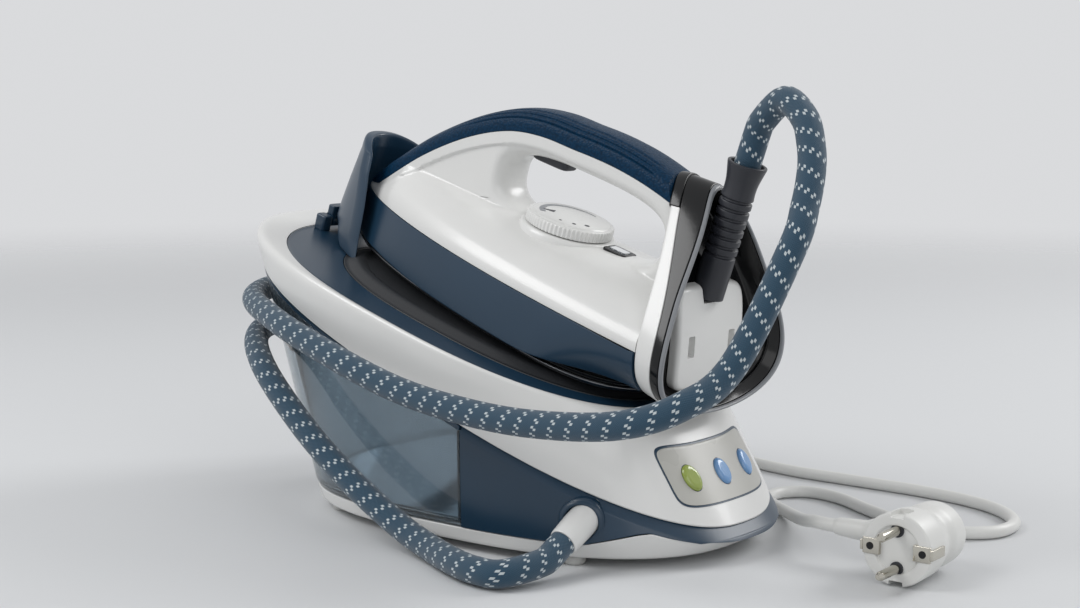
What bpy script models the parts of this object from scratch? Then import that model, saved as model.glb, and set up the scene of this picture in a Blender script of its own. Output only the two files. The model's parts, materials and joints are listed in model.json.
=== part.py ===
"""Steam generator iron: a base with a water tank and boiler, and an iron resting on its sloping deck.

World axes: +X toward the control panel, -Y the near side, +Z up, floor at z = 0.
Sizes below are in millimetres and are scaled to metres when a mesh is made.
The deck slopes down toward +X.  Pieces of the iron are drawn in deck axes: u down the slope,
v across (the same as Y) and w square to the deck.
"""
import math

import bmesh
import bpy
import numpy as np

MM = 0.001
GAP = 0.3                      # clearance between touching pieces
WALL = 2.4                     # casing wall

# base: two outlines joined by straight lines
POWER = 2.55                   # squareness of the base outlines
BOTTOM = (-138.0, 150.0, 88.0)  # tank end, panel end, half width at BOTTOM_Z
TOP = (-188.0, 104.0, 92.0)     # the same on the deck plane
BOTTOM_Z = 6.0
DECK_TILT = math.radians(18.0)
DECK_Z = 109.0                 # deck plane over the origin
BAND_Z, BAND_SLOPE = 76.0, -0.41  # lower edge of the white shell: z = BAND_Z + BAND_SLOPE * x
TRAY_BOTTOM, TRAY_TOP = 5.0, 13.0
SEAM_X = 20.0                  # tank and casing meet here
OPENING = (-168.0, 99.0, 88.4)  # deck opening in the white shell
REST = (-147.0, 91.0, 70.0)    # heat-proof rest
REST_TOP = (-138.0, 84.0, 62.0)
REST_HEIGHT = 3.0
AROUND = 48                    # points round the base

# control panel on the front face
PANEL_ANGLE = math.radians(20.8)
PANEL_LOW, PANEL_HIGH = 0.34, 0.76
BUTTON_ANGLES = (-0.20, 0.0, 0.20)
BUTTON_LEVEL = 0.53
BUTTON_HALF = (5.5, 7.5)       # half width and half length

# iron, deck axes
SOLE_W = 5.3                   # underside of the soleplate
SOLE_THICK = 3.0
SKIRT_LOW, SKIRT_HIGH = 11.5, 36.0
NOSE_U = -143.0
SKIRT_HALF = 59.0              # half width where skirt and body meet
DOME_TOP = 64.5
HANDLE_HALF = 17.0
GRIP_HEIGHT = 13.5
SPINE_U = (-143.0, -127.0, -94.5, -42.0, 20.8, 97.0, 104.0)
SPINE_W = (38.0, 53.0, 84.0, 116.0, 122.0, 117.4, 116.0)
HAND_HOLE = (17.5, 78.75, 56.0, 17.75)  # centre u, centre w, half length, half height
DIAL_U, DIAL_RADIUS, DIAL_LOW, DIAL_HIGH = 5.0, 25.0, 62.0, 69.0
HEEL_LOW, HEEL_HIGH = 4.0, 118.0
HEEL_BAND, HEEL_DEPTH = 11.0, 18.0  # white part and whole depth of the heel
BOOT_FOOT, BOOT_TOP = (106.0, 68.0), (102.5, 134.0)
MOUTH_RADIUS = 10.5            # flared end of the hose boot

# hose and mains cord
HOSE_D = 14.0
CORD_D = 7.0
PLUG = (230.0, -6.0, 19.0)     # centre of the pin face
PLUG_RADIUS = 18.5
PIN_SPACING = 19.0


def deck(u, v, w):
    """World point of deck coordinates."""
    c, s = math.cos(DECK_TILT), math.sin(DECK_TILT)
    return np.stack(np.broadcast_arrays(u * c + w * s, v, DECK_Z - u * s + w * c), -1).astype(float)


DECK_PLANE = (DECK_Z, -math.tan(DECK_TILT))

boot_foot, boot_top = (deck(u, 0.0, w) for u, w in (BOOT_FOOT, BOOT_TOP))
boot_length = float(np.linalg.norm(boot_top - boot_foot))
BOOT_AXIS = (boot_top - boot_foot) / boot_length
mouth_x = boot_top[0] + MOUTH_RADIUS * math.sqrt(1 - BOOT_AXIS[0] ** 2)
# the middle of the length from tank end to hose mouth is brought over the origin
CENTRE = np.array([(TOP[0] + mouth_x) / 2, 0.0, 0.0])


def band_plane(drop):
    """Plane parallel to the lower edge of the white shell."""
    return (BAND_Z - drop, BAND_SLOPE)


def deck_plane(rise):
    return (DECK_Z + rise / math.cos(DECK_TILT), -math.tan(DECK_TILT))


def outline(shape, theta, inset=0.0, end_inset=0.0):
    """Superellipse through tank end, panel end and half width."""
    back, front, half = shape
    back, front, half = back + inset + end_inset, front - inset, half - inset
    c, s = np.cos(theta), np.sin(theta)
    x = (back + front) / 2 + (front - back) / 2 * np.sign(c) * np.abs(c) ** (2 / POWER)
    y = half * np.sign(s) * np.abs(s) ** (2 / POWER)
    return x, y


def wall_level(theta, level, inset=0.0, end_inset=0.0):
    """Point of the base wall at a fraction of the way from the bottom outline to the deck."""
    theta = np.asarray(theta, float)
    x0, y0 = outline(BOTTOM, theta, inset)
    x1, y1 = outline(TOP, theta, inset, end_inset)
    z1 = DECK_PLANE[0] + DECK_PLANE[1] * x1
    return np.stack([x0 + (x1 - x0) * level, y0 + (y1 - y0) * level, BOTTOM_Z + (z1 - BOTTOM_Z) * level], -1)


def wall(theta, plane, inset=0.0, end_inset=0.0):
    """Points of the base wall on the plane z = a + b x."""
    a, b = plane
    p0 = wall_level(theta, 0.0, inset, end_inset)
    p1 = wall_level(theta, 1.0, inset, end_inset)
    d = p1 - p0
    level = (a + b * p0[:, 0] - p0[:, 2]) / (d[:, 2] - b * d[:, 0])
    return p0 + d * level[:, None]


TURN = np.linspace(0, 2 * math.pi, AROUND, endpoint=False)


def flat_ring(shape, plane, inset=0.0):
    """An outline laid on a plane."""
    x, y = outline(shape, TURN, inset)
    return np.stack([x, y, plane[0] + plane[1] * x], -1)


def seam_run(plane, inset, x_seam, tank_side, count=28, end_inset=0.0):
    """Open run of wall points from the seam on the near side round one end to the far side."""
    lo, hi = 0.05, math.pi - 0.05
    for _ in range(50):
        mid = (lo + hi) / 2
        if wall(np.array([mid]), plane, inset, end_inset)[0, 0] > x_seam:
            lo = mid
        else:
            hi = mid
    if tank_side:
        theta = np.linspace(2 * math.pi - lo, lo, count)
    else:
        theta = np.linspace(-lo, lo, count)
    points = wall(theta, plane, inset, end_inset)
    points[0, 0] = points[-1, 0] = x_seam
    return points


def material(name, colour, rough=0.4, metal=0.0, clear=0.0):
    mat = bpy.data.materials.new(name)
    mat.use_nodes = True
    bsdf = mat.node_tree.nodes["Principled BSDF"]
    bsdf.inputs["Base Color"].default_value = (*colour, 1.0)
    bsdf.inputs["Roughness"].default_value = rough
    bsdf.inputs["Metallic"].default_value = metal
    bsdf.inputs["Transmission Weight"].default_value = clear
    mat.diffuse_color = (*colour, 1.0)
    return mat


def add_mesh(name, verts, faces, mat, origin=(0.0, 0.0, 0.0), smooth=True):
    """One closed mesh in millimetres; the object's origin is put at the given point."""
    base = np.asarray(origin, float)
    bm = bmesh.new()
    made = [bm.verts.new((np.asarray(v) - base) * MM) for v in verts]
    for face in faces:
        bm.faces.new([made[i] for i in face])
    bmesh.ops.recalc_face_normals(bm, faces=bm.faces)
    mesh = bpy.data.meshes.new(name)
    bm.to_mesh(mesh)
    bm.free()
    if smooth:
        mesh.shade_smooth()
        mesh.set_sharp_from_angle(angle=math.radians(35))
    obj = bpy.data.objects.new(name, mesh)
    obj.location = (base - CENTRE) * MM
    bpy.context.collection.objects.link(obj)
    if mat is None:
        obj.hide_render = True
        obj.display_type = 'WIRE'
    else:
        mesh.materials.append(mat)
    return obj


def ring_faces(rows, count, closed_rows, closed_ring=True):
    faces = []
    last = count if closed_ring else count - 1
    for r in range(rows if closed_rows else rows - 1):
        for i in range(last):
            j = (i + 1) % count
            a, b = r * count, ((r + 1) % rows) * count
            faces.append((a + i, a + j, b + j, b + i))
    return faces


def cap_faces(first, count, mirror):
    """End face of a loft: one flat face, or strips across the mirror plane where the end is curved.

    mirror is 0 for a ring that starts beside the mirror plane and 1 for one that starts on it.
    """
    if mirror is None:
        return [tuple(range(first, first + count))]
    faces = []
    for i in range((count - 1 + mirror) // 2):
        run = (i, i + 1, count - 2 - i + mirror, count - 1 - i + mirror)
        faces.append(tuple(first + k for k in dict.fromkeys(n % count for n in run)))
    return faces


def loft(name, rings, mat, closed=False, mirror=None, **kw):
    """Rings of equal length joined in turn; open lofts get a cap at each end."""
    count = len(rings[0])
    faces = ring_faces(len(rings), count, closed)
    if not closed:
        faces += cap_faces(0, count, mirror) + cap_faces((len(rings) - 1) * count, count, mirror)
    return add_mesh(name, np.concatenate(rings), faces, mat, **kw)


def strip(name, rails, mat, **kw):
    """A bar whose section corners run along the given open rails."""
    return loft(name, [np.array(corners) for corners in zip(*rails)], mat, **kw)


def round_piece(name, start, axis, profile, mat, sides=24, **kw):
    """Turned piece: (distance, radius) pairs along an axis."""
    axis = np.asarray(axis, float) / np.linalg.norm(axis)
    side = np.cross(axis, (0.0, 1.0, 0.0) if abs(axis[1]) < 0.9 else (1.0, 0.0, 0.0))
    side /= np.linalg.norm(side)
    other = np.cross(axis, side)
    t = np.linspace(0, 2 * math.pi, sides, endpoint=False)
    circle = np.cos(t)[:, None] * side + np.sin(t)[:, None] * other
    rings = [np.asarray(start, float) + axis * d + circle * r for d, r in profile]
    return loft(name, rings, mat, **kw)


def box(name, low, high, mat, place=None, **kw):
    """Box between two corners, optionally placed by a point function such as deck."""
    (x0, y0, z0), (x1, y1, z1) = low, high
    corners = np.array([(x0, y0), (x1, y0), (x1, y1), (x0, y1)])
    rings = [np.column_stack([corners, np.full(4, z)]) for z in (z0, z1)]
    if place:
        rings = [place(r[:, 0], r[:, 1], r[:, 2]) for r in rings]
    return loft(name, rings, mat, smooth=False, **kw)


def cut(target, tool, operation='DIFFERENCE'):
    mod = target.modifiers.new(operation.lower(), 'BOOLEAN')
    mod.operation = operation
    mod.solver = 'EXACT'
    mod.object = tool


for old in list(bpy.data.objects):
    bpy.data.objects.remove(old, do_unlink=True)

WHITE = material("white_abs", (0.78, 0.78, 0.76), 0.25)
NAVY = material("navy_abs", (0.016, 0.045, 0.09), 0.35)
DARK = material("heat_proof_grey", (0.03, 0.033, 0.037), 0.6)
BLACK = material("gloss_black", (0.008, 0.008, 0.01), 0.15)
LIGHT = material("light_grey", (0.5, 0.5, 0.48), 0.4)
SMOKE = material("smoky_clear", (0.35, 0.42, 0.48), 0.2, clear=0.5)
METAL = material("metal", (0.6, 0.6, 0.6), 0.3, 1.0)
SOFT = material("soft_grip", (0.006, 0.05, 0.17), 0.6)
RUBBER = material("rubber", (0.025, 0.026, 0.032), 0.6)
GREEN = material("green_button", (0.27, 0.38, 0.05), 0.3)
BLUE = material("blue_button", (0.1, 0.25, 0.6), 0.3)
BRAID = material("hose_braid", (0.012, 0.06, 0.12), 0.8)
BOARD = material("board_green", (0.02, 0.15, 0.05), 0.5)

# base casing
tray_high = (BOTTOM[0] - 1.0, BOTTOM[1] - 7.0, BOTTOM[2])
tray_low = (BOTTOM[0] + 2.0, BOTTOM[1] - 15.0, BOTTOM[2] - 1.0)
loft("base_tray", [flat_ring(tray_low, (TRAY_BOTTOM, 0)), flat_ring(tray_high, (TRAY_TOP, 0)),
                   flat_ring(tray_high, (TRAY_TOP, 0), WALL),
                   flat_ring(tray_low, (TRAY_BOTTOM + WALL, 0), WALL)], WHITE)
for tag, sx, sy in (("front_near", 80, -68), ("front_far", 80, 68), ("back_near", -95, -60), ("back_far", -95, 60)):
    round_piece("foot_" + tag, (sx, sy, 0.0), (0, 0, 1), [(0, 5.0), (1.0, 6.0), (TRAY_BOTTOM - GAP, 6.0)],
                RUBBER, sides=16)

casing_low, casing_high = (TRAY_TOP + GAP, 0.0), band_plane(GAP / 2)
casing_rails = [seam_run(casing_low, 0, SEAM_X + GAP, False), seam_run(casing_high, 0, SEAM_X + GAP, False),
                seam_run(casing_high, WALL, SEAM_X + GAP, False), seam_run(casing_low, WALL, SEAM_X + GAP, False)]
lower_casing = strip("lower_casing", casing_rails, NAVY)

shell_low = band_plane(-GAP / 2)
under_deck = deck_plane(-WALL)
upper_shell = loft("upper_shell", [wall(TURN, shell_low), wall(TURN, DECK_PLANE),
                                   flat_ring(OPENING, DECK_PLANE), flat_ring(OPENING, under_deck),
                                   wall(TURN, under_deck, WALL), wall(TURN, shell_low, WALL)], WHITE, closed=True)
loft("deck_rim", [flat_ring(OPENING, DECK_PLANE, GAP), flat_ring(REST, DECK_PLANE, -GAP),
                  flat_ring(REST, deck_plane(-4), -GAP), flat_ring(OPENING, deck_plane(-4), GAP)], NAVY, closed=True)
loft("deck_rest", [flat_ring(REST, deck_plane(-4)), flat_ring(REST, DECK_PLANE),
                   flat_ring(REST_TOP, deck_plane(REST_HEIGHT))], DARK)
pad_low, pad_high = REST_HEIGHT + GAP, SOLE_W - GAP
box("rest_pad_front", (-112, -8, pad_low), (-78, 8, pad_high), RUBBER, deck)
for tag, side in (("near", -1), ("far", 1)):
    v = sorted((side * 30, side * 40))
    box("rest_pad_" + tag, (0, v[0], pad_low), (60, v[1], pad_high), RUBBER, deck)

# control panel


def patch(name, angle, low, high, outer, inner, mat, columns=9, centre=0.0):
    """Curved plate following the front wall between two insets."""
    theta = np.linspace(centre - angle, centre + angle, columns)
    rails = [wall_level(theta, low, outer), wall_level(theta, high, outer),
             wall_level(theta, high, inner), wall_level(theta, low, inner)]
    return strip(name, rails, mat)


edge = 0.0028                  # window clearance as an angle
step = 0.0036                  # the same as a fraction of the wall height
cut(upper_shell, patch("cut_window", PANEL_ANGLE + edge, PANEL_LOW - step, PANEL_HIGH + step, -4, 8, None))
fascia = patch("panel_fascia", PANEL_ANGLE, PANEL_LOW, PANEL_HIGH, -0.4, 2.0, LIGHT)
patch("control_board", 0.34, 0.42, 0.70, 8.5, 10.0, BOARD)
for tag, at in (("near", -0.315), ("far", 0.315)):
    patch("board_post_" + tag, 0.012, 0.45, 0.50, 2.0 + GAP, 8.5 - GAP, LIGHT, columns=2, centre=at)


def front_frame(angle, level):
    """Centre, across, up-slope and outward directions on the front wall."""
    p, a, b = (wall_level(np.array([t]), h)[0] for t, h in
               ((angle, level), (angle + 0.01, level), (angle, level + 0.01)))
    across = (a - p) / np.linalg.norm(a - p)
    up = (b - p) / np.linalg.norm(b - p)
    out = np.cross(across, up)
    return p, across, up, out / np.linalg.norm(out)


def oval(name, frame, grow, low, high, mat):
    p, across, up, out = frame
    t = np.linspace(0, 2 * math.pi, 20, endpoint=False)
    edge_line = (np.cos(t)[:, None] * across * (BUTTON_HALF[0] + grow)
                 + np.sin(t)[:, None] * up * (BUTTON_HALF[1] + grow))
    return loft(name, [p + out * low + edge_line, p + out * high + edge_line], mat, origin=p)


for tag, angle, mat in zip(("eco", "power", "refill"), BUTTON_ANGLES, (GREEN, BLUE, BLUE)):
    frame = front_frame(angle, BUTTON_LEVEL)
    cut(fascia, oval("cut_" + tag, frame, 0.35, -10, 10, None))
    oval("button_" + tag, frame, 0.0, -4.5, 1.6, mat)

# inside the base
box("bulkhead", (22, -80, TRAY_BOTTOM + WALL + GAP), (24, 80, 60), LIGHT)
bulkhead = bpy.data.objects["bulkhead"]
VALVE_Z = 24.0
cut(bulkhead, round_piece("cut_bulkhead", (15, 0, VALVE_Z), (1, 0, 0), [(0, 5.4), (20, 5.4)], None, sides=16))
tank_socket = round_piece("tank_socket", (24 + GAP, 0, VALVE_Z), (1, 0, 0), [(0, 9), (9, 9)], LIGHT, sides=20)
cut(tank_socket, round_piece("cut_socket", (15, 0, VALVE_Z), (1, 0, 0), [(0, 5.4), (15, 5.4)], None, sides=16))
BOILER = (74.0, 40.0, 25.0, 46.0)  # x, z, radius, half length
bx, bz, br, bl = BOILER
round_piece("boiler", (bx, -bl, bz), (0, 1, 0), [(0, br - 5), (5, br), (2 * bl - 5, br), (2 * bl, br - 5)], METAL)
round_piece("boiler_heater", (bx, bl + GAP, bz), (0, 1, 0), [(0, 18), (5, 18)], DARK, sides=20)
box("boiler_cradle", (bx - 12, -32, TRAY_BOTTOM + WALL + GAP), (bx + 12, 32, bz - br - GAP), DARK)
box("water_pump", (24 + GAP, 9 + GAP, TRAY_BOTTOM + WALL + GAP), (bx - br - GAP, 40, bz + 3), DARK)
box("steam_valve", (bx + 4, -bl - GAP - 6, 20), (bx + 24, -bl - GAP, 44), METAL)

# glands
GLAND_AXIS = np.array([0.0, -0.9, -0.436])
GLAND_OUT = 17.0
near_wall = seam_run((24.5, 0.0), 0, 90.0, False, count=3)[0]
gland_in = (abs(near_wall[1]) - (bl + GAP + 6 + 4.2)) / -GLAND_AXIS[1]
gland_start = near_wall - GLAND_AXIS * gland_in
GLAND_LENGTH = gland_in + GLAND_OUT
GLAND_R = 8.3
round_piece("hose_gland", gland_start, GLAND_AXIS, [(0, GLAND_R), (gland_in + 4, GLAND_R), (GLAND_LENGTH, GLAND_R - 0.7)], LIGHT)
cut(lower_casing, round_piece("cut_hose_gland", near_wall - GLAND_AXIS * 22, GLAND_AXIS,
                              [(0, GLAND_R + GAP), (40, GLAND_R + GAP)], None))
far_wall = seam_run((24.0, 0.0), 0, 60.0, False, count=3)[2]
round_piece("mains_gland", far_wall - np.array([0, 8, 0]), (0, 1, 0), [(0, 6), (14, 6), (30, 4.2)], LIGHT, sides=16)
cut(lower_casing, round_piece("cut_mains_gland", far_wall - np.array([0, 9, 0]), (0, 1, 0),
                              [(0, 6.3), (18, 6.3)], None, sides=16))

# water tank
tank_x = SEAM_X - GAP
tank_top = band_plane(GAP + WALL)
water_tank = loft("water_tank", [seam_run((TRAY_TOP + GAP, 0), 0, tank_x, True), seam_run(tank_top, 0, tank_x, True)],
                  SMOKE)
cut(water_tank, loft("cut_tank", [seam_run((TRAY_TOP + 3, 0), 3, tank_x - 3, True, end_inset=26),
                                  seam_run(band_plane(-12), 3, tank_x - 3, True, end_inset=26)], None))
SLOT_HALF = 0.95


def slot(name, low, high, outer, inner, half, mat):
    theta = np.linspace(math.pi - half, math.pi + half, 13)
    rails = [wall(theta, band_plane(low), outer), wall(theta, band_plane(high), outer),
             wall(theta, band_plane(high), inner), wall(theta, band_plane(low), inner)]
    return strip(name, rails, mat)


cut(water_tank, slot("cut_slot", 30.0, 22.0, -3.0, 13.0, SLOT_HALF, None))
slot("tank_grip", 30.0 - GAP, 26.5, -1.2, 13.0 - GAP, SLOT_HALF - 0.01, WHITE)
loft("tank_lid", [seam_run(band_plane(WALL), 0, tank_x, True), seam_run(band_plane(GAP), 0, tank_x, True)], NAVY)
round_piece("tank_valve", (tank_x + GAP, 0, VALVE_Z), (1, 0, 0), [(0, 5), (9.5, 5)], DARK, sides=16)

# lock arm at the nose of the iron
ARM_U, ARM_W = -162.0, 5.0     # hinge
ARM_PIN = 1.8
arm_origin = deck(np.array(ARM_U), np.array(0.0), np.array(ARM_W))


ARM_LEVELS = (-1.0, 5.0, 22.0, 42.0, 53.0, 62.0)  # heights over the hinge
ARM_HALF = (39.0, 38.0, 36.0, 30.0, 25.5, 22.0)   # half width at those heights
ARM_BACK = (-5.0, -4.0, 0.0, 7.0, 11.0, 13.5)     # back face, from the hinge
ARM_WRAP = (38.0, 36.0, 30.0, 14.0, 8.0, 5.0)     # how far the sides come forward
ARM_THICK = 8.0
ARM_SHOULDER, ARM_CROWN = 54.0, 8.0


def arm_column(side):
    """Upright section of the curved plate, side running from -1 to 1 across it."""
    low = np.interp(abs(side), (0.62, 0.8), (5.0, -0.8))
    rise = np.linspace(low, ARM_SHOULDER + ARM_CROWN * (1 - abs(side) ** 2.6), 9)
    half, back, wrap = (np.interp(rise, ARM_LEVELS, table) for table in (ARM_HALF, ARM_BACK, ARM_WRAP))
    u = ARM_U + back + wrap * side ** 2
    v, w = side * half, ARM_W + rise
    return deck(np.concatenate([u, (u + ARM_THICK)[::-1]]), np.concatenate([v, v[::-1]]), np.concatenate([w, w[::-1]]))


lock_arm = loft("lock_arm", [arm_column(side) for side in np.linspace(-1, 1, 13)], NAVY, mirror=0, origin=arm_origin)


def across_piece(name, u, w, v0, v1, radius, mat, sides=16, origin=(0.0, 0.0, 0.0)):
    start = deck(np.array(u), np.array(v0), np.array(w))
    return round_piece(name, start, (0, 1, 0), [(0, radius), (v1 - v0, radius)], mat, sides=sides, origin=origin)


knuckle = across_piece("cut_knuckle", ARM_U, ARM_W, -12, 12, 4.2, None)
cut(lock_arm, box("cut_web", (ARM_U - 2.5, -12, ARM_W), (ARM_U + 2.5, 12, ARM_W + 7), None, deck), 'UNION')
cut(lock_arm, knuckle, 'UNION')
cut(lock_arm, across_piece("cut_arm_bore", ARM_U, ARM_W, -20, 20, ARM_PIN + GAP, None))
across_piece("lock_pin", ARM_U, ARM_W, -19, 19, ARM_PIN, METAL)
for tag, side in (("near", -1), ("far", 1)):
    v = sorted((side * (12 + GAP), side * 18.0))
    lug = box("lock_lug_" + tag, (ARM_U - 4.5, v[0], GAP), (ARM_U + 4.5, v[1], ARM_W + 4), NAVY, deck)
    cut(lug, across_piece("cut_lug_" + tag, ARM_U, ARM_W, v[0] - 3, v[1] + 3, ARM_PIN + GAP, None))

# iron: sole, insulator, skirt


def sole_outline(half, nose, rear, w, count=22):
    """Boat-shaped outline: pointed nose, rounded heel."""
    f = (1 - np.cos(np.linspace(0.06, math.pi, count))) / 2
    v = half * (1 - (1 - f) ** 2.4) ** 0.65 * (1 - f ** 14) ** 0.5
    u = nose + (rear - nose) * f
    us = np.concatenate([u, u[-2::-1]])
    vs = np.concatenate([v, -v[-2::-1]])
    return deck(us, vs, np.full(len(us), float(w)))


sole_high = SOLE_W + SOLE_THICK
CASTING_HIGH, THERMOSTAT_HIGH = 21.0, 33.0
loft("soleplate", [sole_outline(58, -141, 99, SOLE_W), sole_outline(60, -144, 100, sole_high)], METAL)
loft("heater_casting", [sole_outline(50, -126, 86, sole_high + GAP), sole_outline(48, -124, 85, CASTING_HIGH)], METAL)
insulator_high = SKIRT_LOW - GAP
loft("insulator", [sole_outline(60, -143, 100, sole_high + GAP), sole_outline(62.3, -145, 102, insulator_high),
                   sole_outline(50.8, -129, 88, insulator_high), sole_outline(50.8, -129, 88, sole_high + GAP)],
     BLACK, closed=True)


def rear_front_u(w):
    """Front face of the white rear band: upright at the sole, leaning forward more and more toward the handle."""
    return 108.4 - 0.01 * w - 0.003 * w * w


REAR_U = rear_front_u(SKIRT_HIGH) - GAP
LEAN_FROM = -20.0


def skirt_ring(half, nose, w, inset):
    return sole_outline(half - inset, nose + 1.8 * inset, rear_front_u(w) - 2 * GAP - inset, w)


loft("skirt", [skirt_ring(SKIRT_HALF + 5, NOSE_U - 4, SKIRT_LOW, 0), skirt_ring(SKIRT_HALF + 3, NOSE_U - 2.5, 24, 0),
               skirt_ring(SKIRT_HALF, NOSE_U, SKIRT_HIGH, 0), skirt_ring(SKIRT_HALF, NOSE_U, SKIRT_HIGH, 2.4),
               skirt_ring(SKIRT_HALF + 5, NOSE_U - 4, SKIRT_LOW, 2.4)], NAVY, closed=True)

# iron: body with handle
BODY_LOW = SKIRT_HIGH + GAP


def spine(u):
    """Height of the handle's top line: a smooth curve through the spine points."""
    x, y = np.array(SPINE_U), np.array(SPINE_W)
    slope = np.gradient(y, x)
    i = int(np.clip(np.searchsorted(x, u) - 1, 0, len(x) - 2))
    h = x[i + 1] - x[i]
    t = (u - x[i]) / h
    return ((1 + 2 * t) * (1 - t) ** 2 * y[i] + t * (1 - t) ** 2 * h * slope[i]
            + t * t * (3 - 2 * t) * y[i + 1] + t * t * (t - 1) * h * slope[i + 1])


def body_half(u):
    f = (u - NOSE_U) / (REAR_U - NOSE_U)
    return (SKIRT_HALF - 1) * (1 - (1 - np.clip(f, 0, 1)) ** 2.4) ** 0.65


def slanted(u, v, w):
    """Sections lean back toward the heel so that the last one lies on the rear band."""
    lean = np.clip((u - LEAN_FROM) / (REAR_U - LEAN_FROM), 0, 1)
    return deck(u + lean * (rear_front_u(w) - rear_front_u(SKIRT_HIGH)), v, w)


def handle_half(u):
    return min(HANDLE_HALF, 0.85 * body_half(u))


def split_line(u):
    """Height at which the soft grip meets the white body."""
    return max(spine(u) - GRIP_HEIGHT, BODY_LOW + 1.0)


def body_ring(u, inset=0.0, top_drop=0.0, low=None):
    """Dome on the skirt, then the handle's straight sides up to the grip."""
    low = BODY_LOW if low is None else low
    split = split_line(u)
    shoulder = min(DOME_TOP, split) - top_drop
    half, top_half = body_half(u) - inset, handle_half(u)
    t = np.linspace(0, math.pi / 2, 8)
    w = np.concatenate([[low], BODY_LOW + (shoulder - BODY_LOW) * np.sin(t)[1:]])
    v = np.concatenate([[half], top_half + (half - top_half) * np.cos(t)[1:]])
    if top_drop == 0:
        w = np.append(w, max(split, shoulder + 0.01))
        v = np.append(v, top_half)
    return slanted(u, np.concatenate([v, -v[::-1]]), np.concatenate([w, w[::-1]]))


body_us = np.concatenate([np.linspace(NOSE_U + 1.2, -95, 9), np.linspace(-80, REAR_U, 12)])
body_shell = loft("body_shell", [body_ring(u) for u in body_us], WHITE, mirror=0)
ROOF = DOME_TOP - (HAND_HOLE[1] - HAND_HOLE[3]) + 3.0  # 3 mm is left under the hand hole
cut(body_shell, loft("cut_hood", [body_ring(u, 3.0, ROOF, 26.0) for u in np.linspace(-100, REAR_U - 4, 10)], None,
                     mirror=0))
hole_t = np.linspace(0, 2 * math.pi, 36, endpoint=False)


def hand_hole(v):
    hu, hw, hl, hh = HAND_HOLE
    c, s = np.cos(hole_t), np.sin(hole_t)
    u = hu + hl * np.sign(c) * np.abs(c) ** (2 / 3)
    w = hw + hh * np.sign(s) * np.abs(s) ** (2 / 3)
    return deck(u, np.full(len(u), float(v)), w)


cut(body_shell, loft("cut_hand_hole", [hand_hole(-70), hand_hole(70)], None))


def upright(name, u, w0, w1, radius, mat, sides=32, v=0.0, **kw):
    start = deck(np.array(u), np.array(v), np.array(w0))
    axis = deck(np.array(u), np.array(v), np.array(w0 + 1.0)) - start
    return round_piece(name, start, axis, [(0, radius), (w1 - w0, radius)], mat, sides=sides, **kw)


cut(body_shell, upright("cut_dial_seat", DIAL_U, DIAL_LOW - GAP, 84, DIAL_RADIUS + 0.6, None))
cut(body_shell, upright("cut_shaft", DIAL_U, 45, 80, 3.0, None, sides=16))
TRIGGER = ((-28.0, -6.5, 91.8), (-3.0, 6.5, 99.5))
TRIGGER_TRAVEL = 4.0
(t0, t1) = TRIGGER
cut(body_shell, box("cut_trigger", (t0[0] - GAP, t0[1] - GAP, 80), (t1[0] + GAP, t1[1] + GAP,
                                                                  t1[2] + TRIGGER_TRAVEL + GAP), None, deck))
LENS = ((36.0, -3.7, 60.2), (47.4, 3.7, 62.4))
(l0, l1) = LENS
cut(body_shell, box("cut_lens", (l0[0] - GAP, l0[1] - GAP, l0[2] - GAP), (l1[0] + GAP, l1[1] + GAP, 72), None, deck))


def grip_ring(u, inset=0.0):
    half = handle_half(u) - inset
    high = spine(u) - inset
    low = split_line(u) + GAP
    t = np.linspace(0, math.pi, 13)
    c, s = np.cos(t), np.sin(t)
    return slanted(u, half * np.sign(c) * np.abs(c) ** 0.7, low + (high - low) * s ** 0.7)


grip_us = body_us[2:]          # the same sections as the body below it
loft("grip", [grip_ring(u) for u in grip_us], SOFT, mirror=0)

# iron: controls
dial_origin = deck(np.array(DIAL_U), np.array(0.0), np.array(DIAL_LOW))
dial_axis = deck(np.array(DIAL_U), np.array(0.0), np.array(DIAL_LOW + 1)) - dial_origin
dial_height = DIAL_HIGH - DIAL_LOW
round_piece("dial", dial_origin, dial_axis, [(0, DIAL_RADIUS), (dial_height - 1.5, DIAL_RADIUS),
                                             (dial_height, DIAL_RADIUS - 2)], WHITE, sides=40, origin=dial_origin)
upright("dial_shaft", DIAL_U, THERMOSTAT_HIGH + GAP, DIAL_LOW - GAP, 2.6, METAL, sides=12, origin=dial_origin)
upright("thermostat", DIAL_U, CASTING_HIGH + GAP, THERMOSTAT_HIGH, 13.0, METAL, sides=20)
box("trigger", t0, t1, RUBBER, deck, origin=deck(np.array(-15.0), np.array(0.0), np.array(95.0)))
box("indicator_lens", l0, l1, SMOKE, deck)

# iron: heel
PHI = np.linspace(0, 2 * math.pi, 44, endpoint=False)


def heel_rear_u(w):
    return rear_front_u(w) + HEEL_DEPTH


def heel_mid_u(w):
    return rear_front_u(w) + HEEL_BAND


def heel_ring(place, shift, inset):
    """Bell outline of the heel on its curved face, shrunk by an inset."""
    x = (1 - np.cos(PHI)) / 2
    v = np.sin(PHI) * (95 - 110 * x + 40 * x * x)
    mid, half = (HEEL_LOW + HEEL_HIGH) / 2, (HEEL_HIGH - HEEL_LOW) / 2
    w = mid - half * np.cos(PHI)
    v = v * (1 - inset / 45.0)
    w = 52 + (w - 52) * (1 - inset / 57.0)
    return deck(place(w) + shift, v, w)


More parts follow.
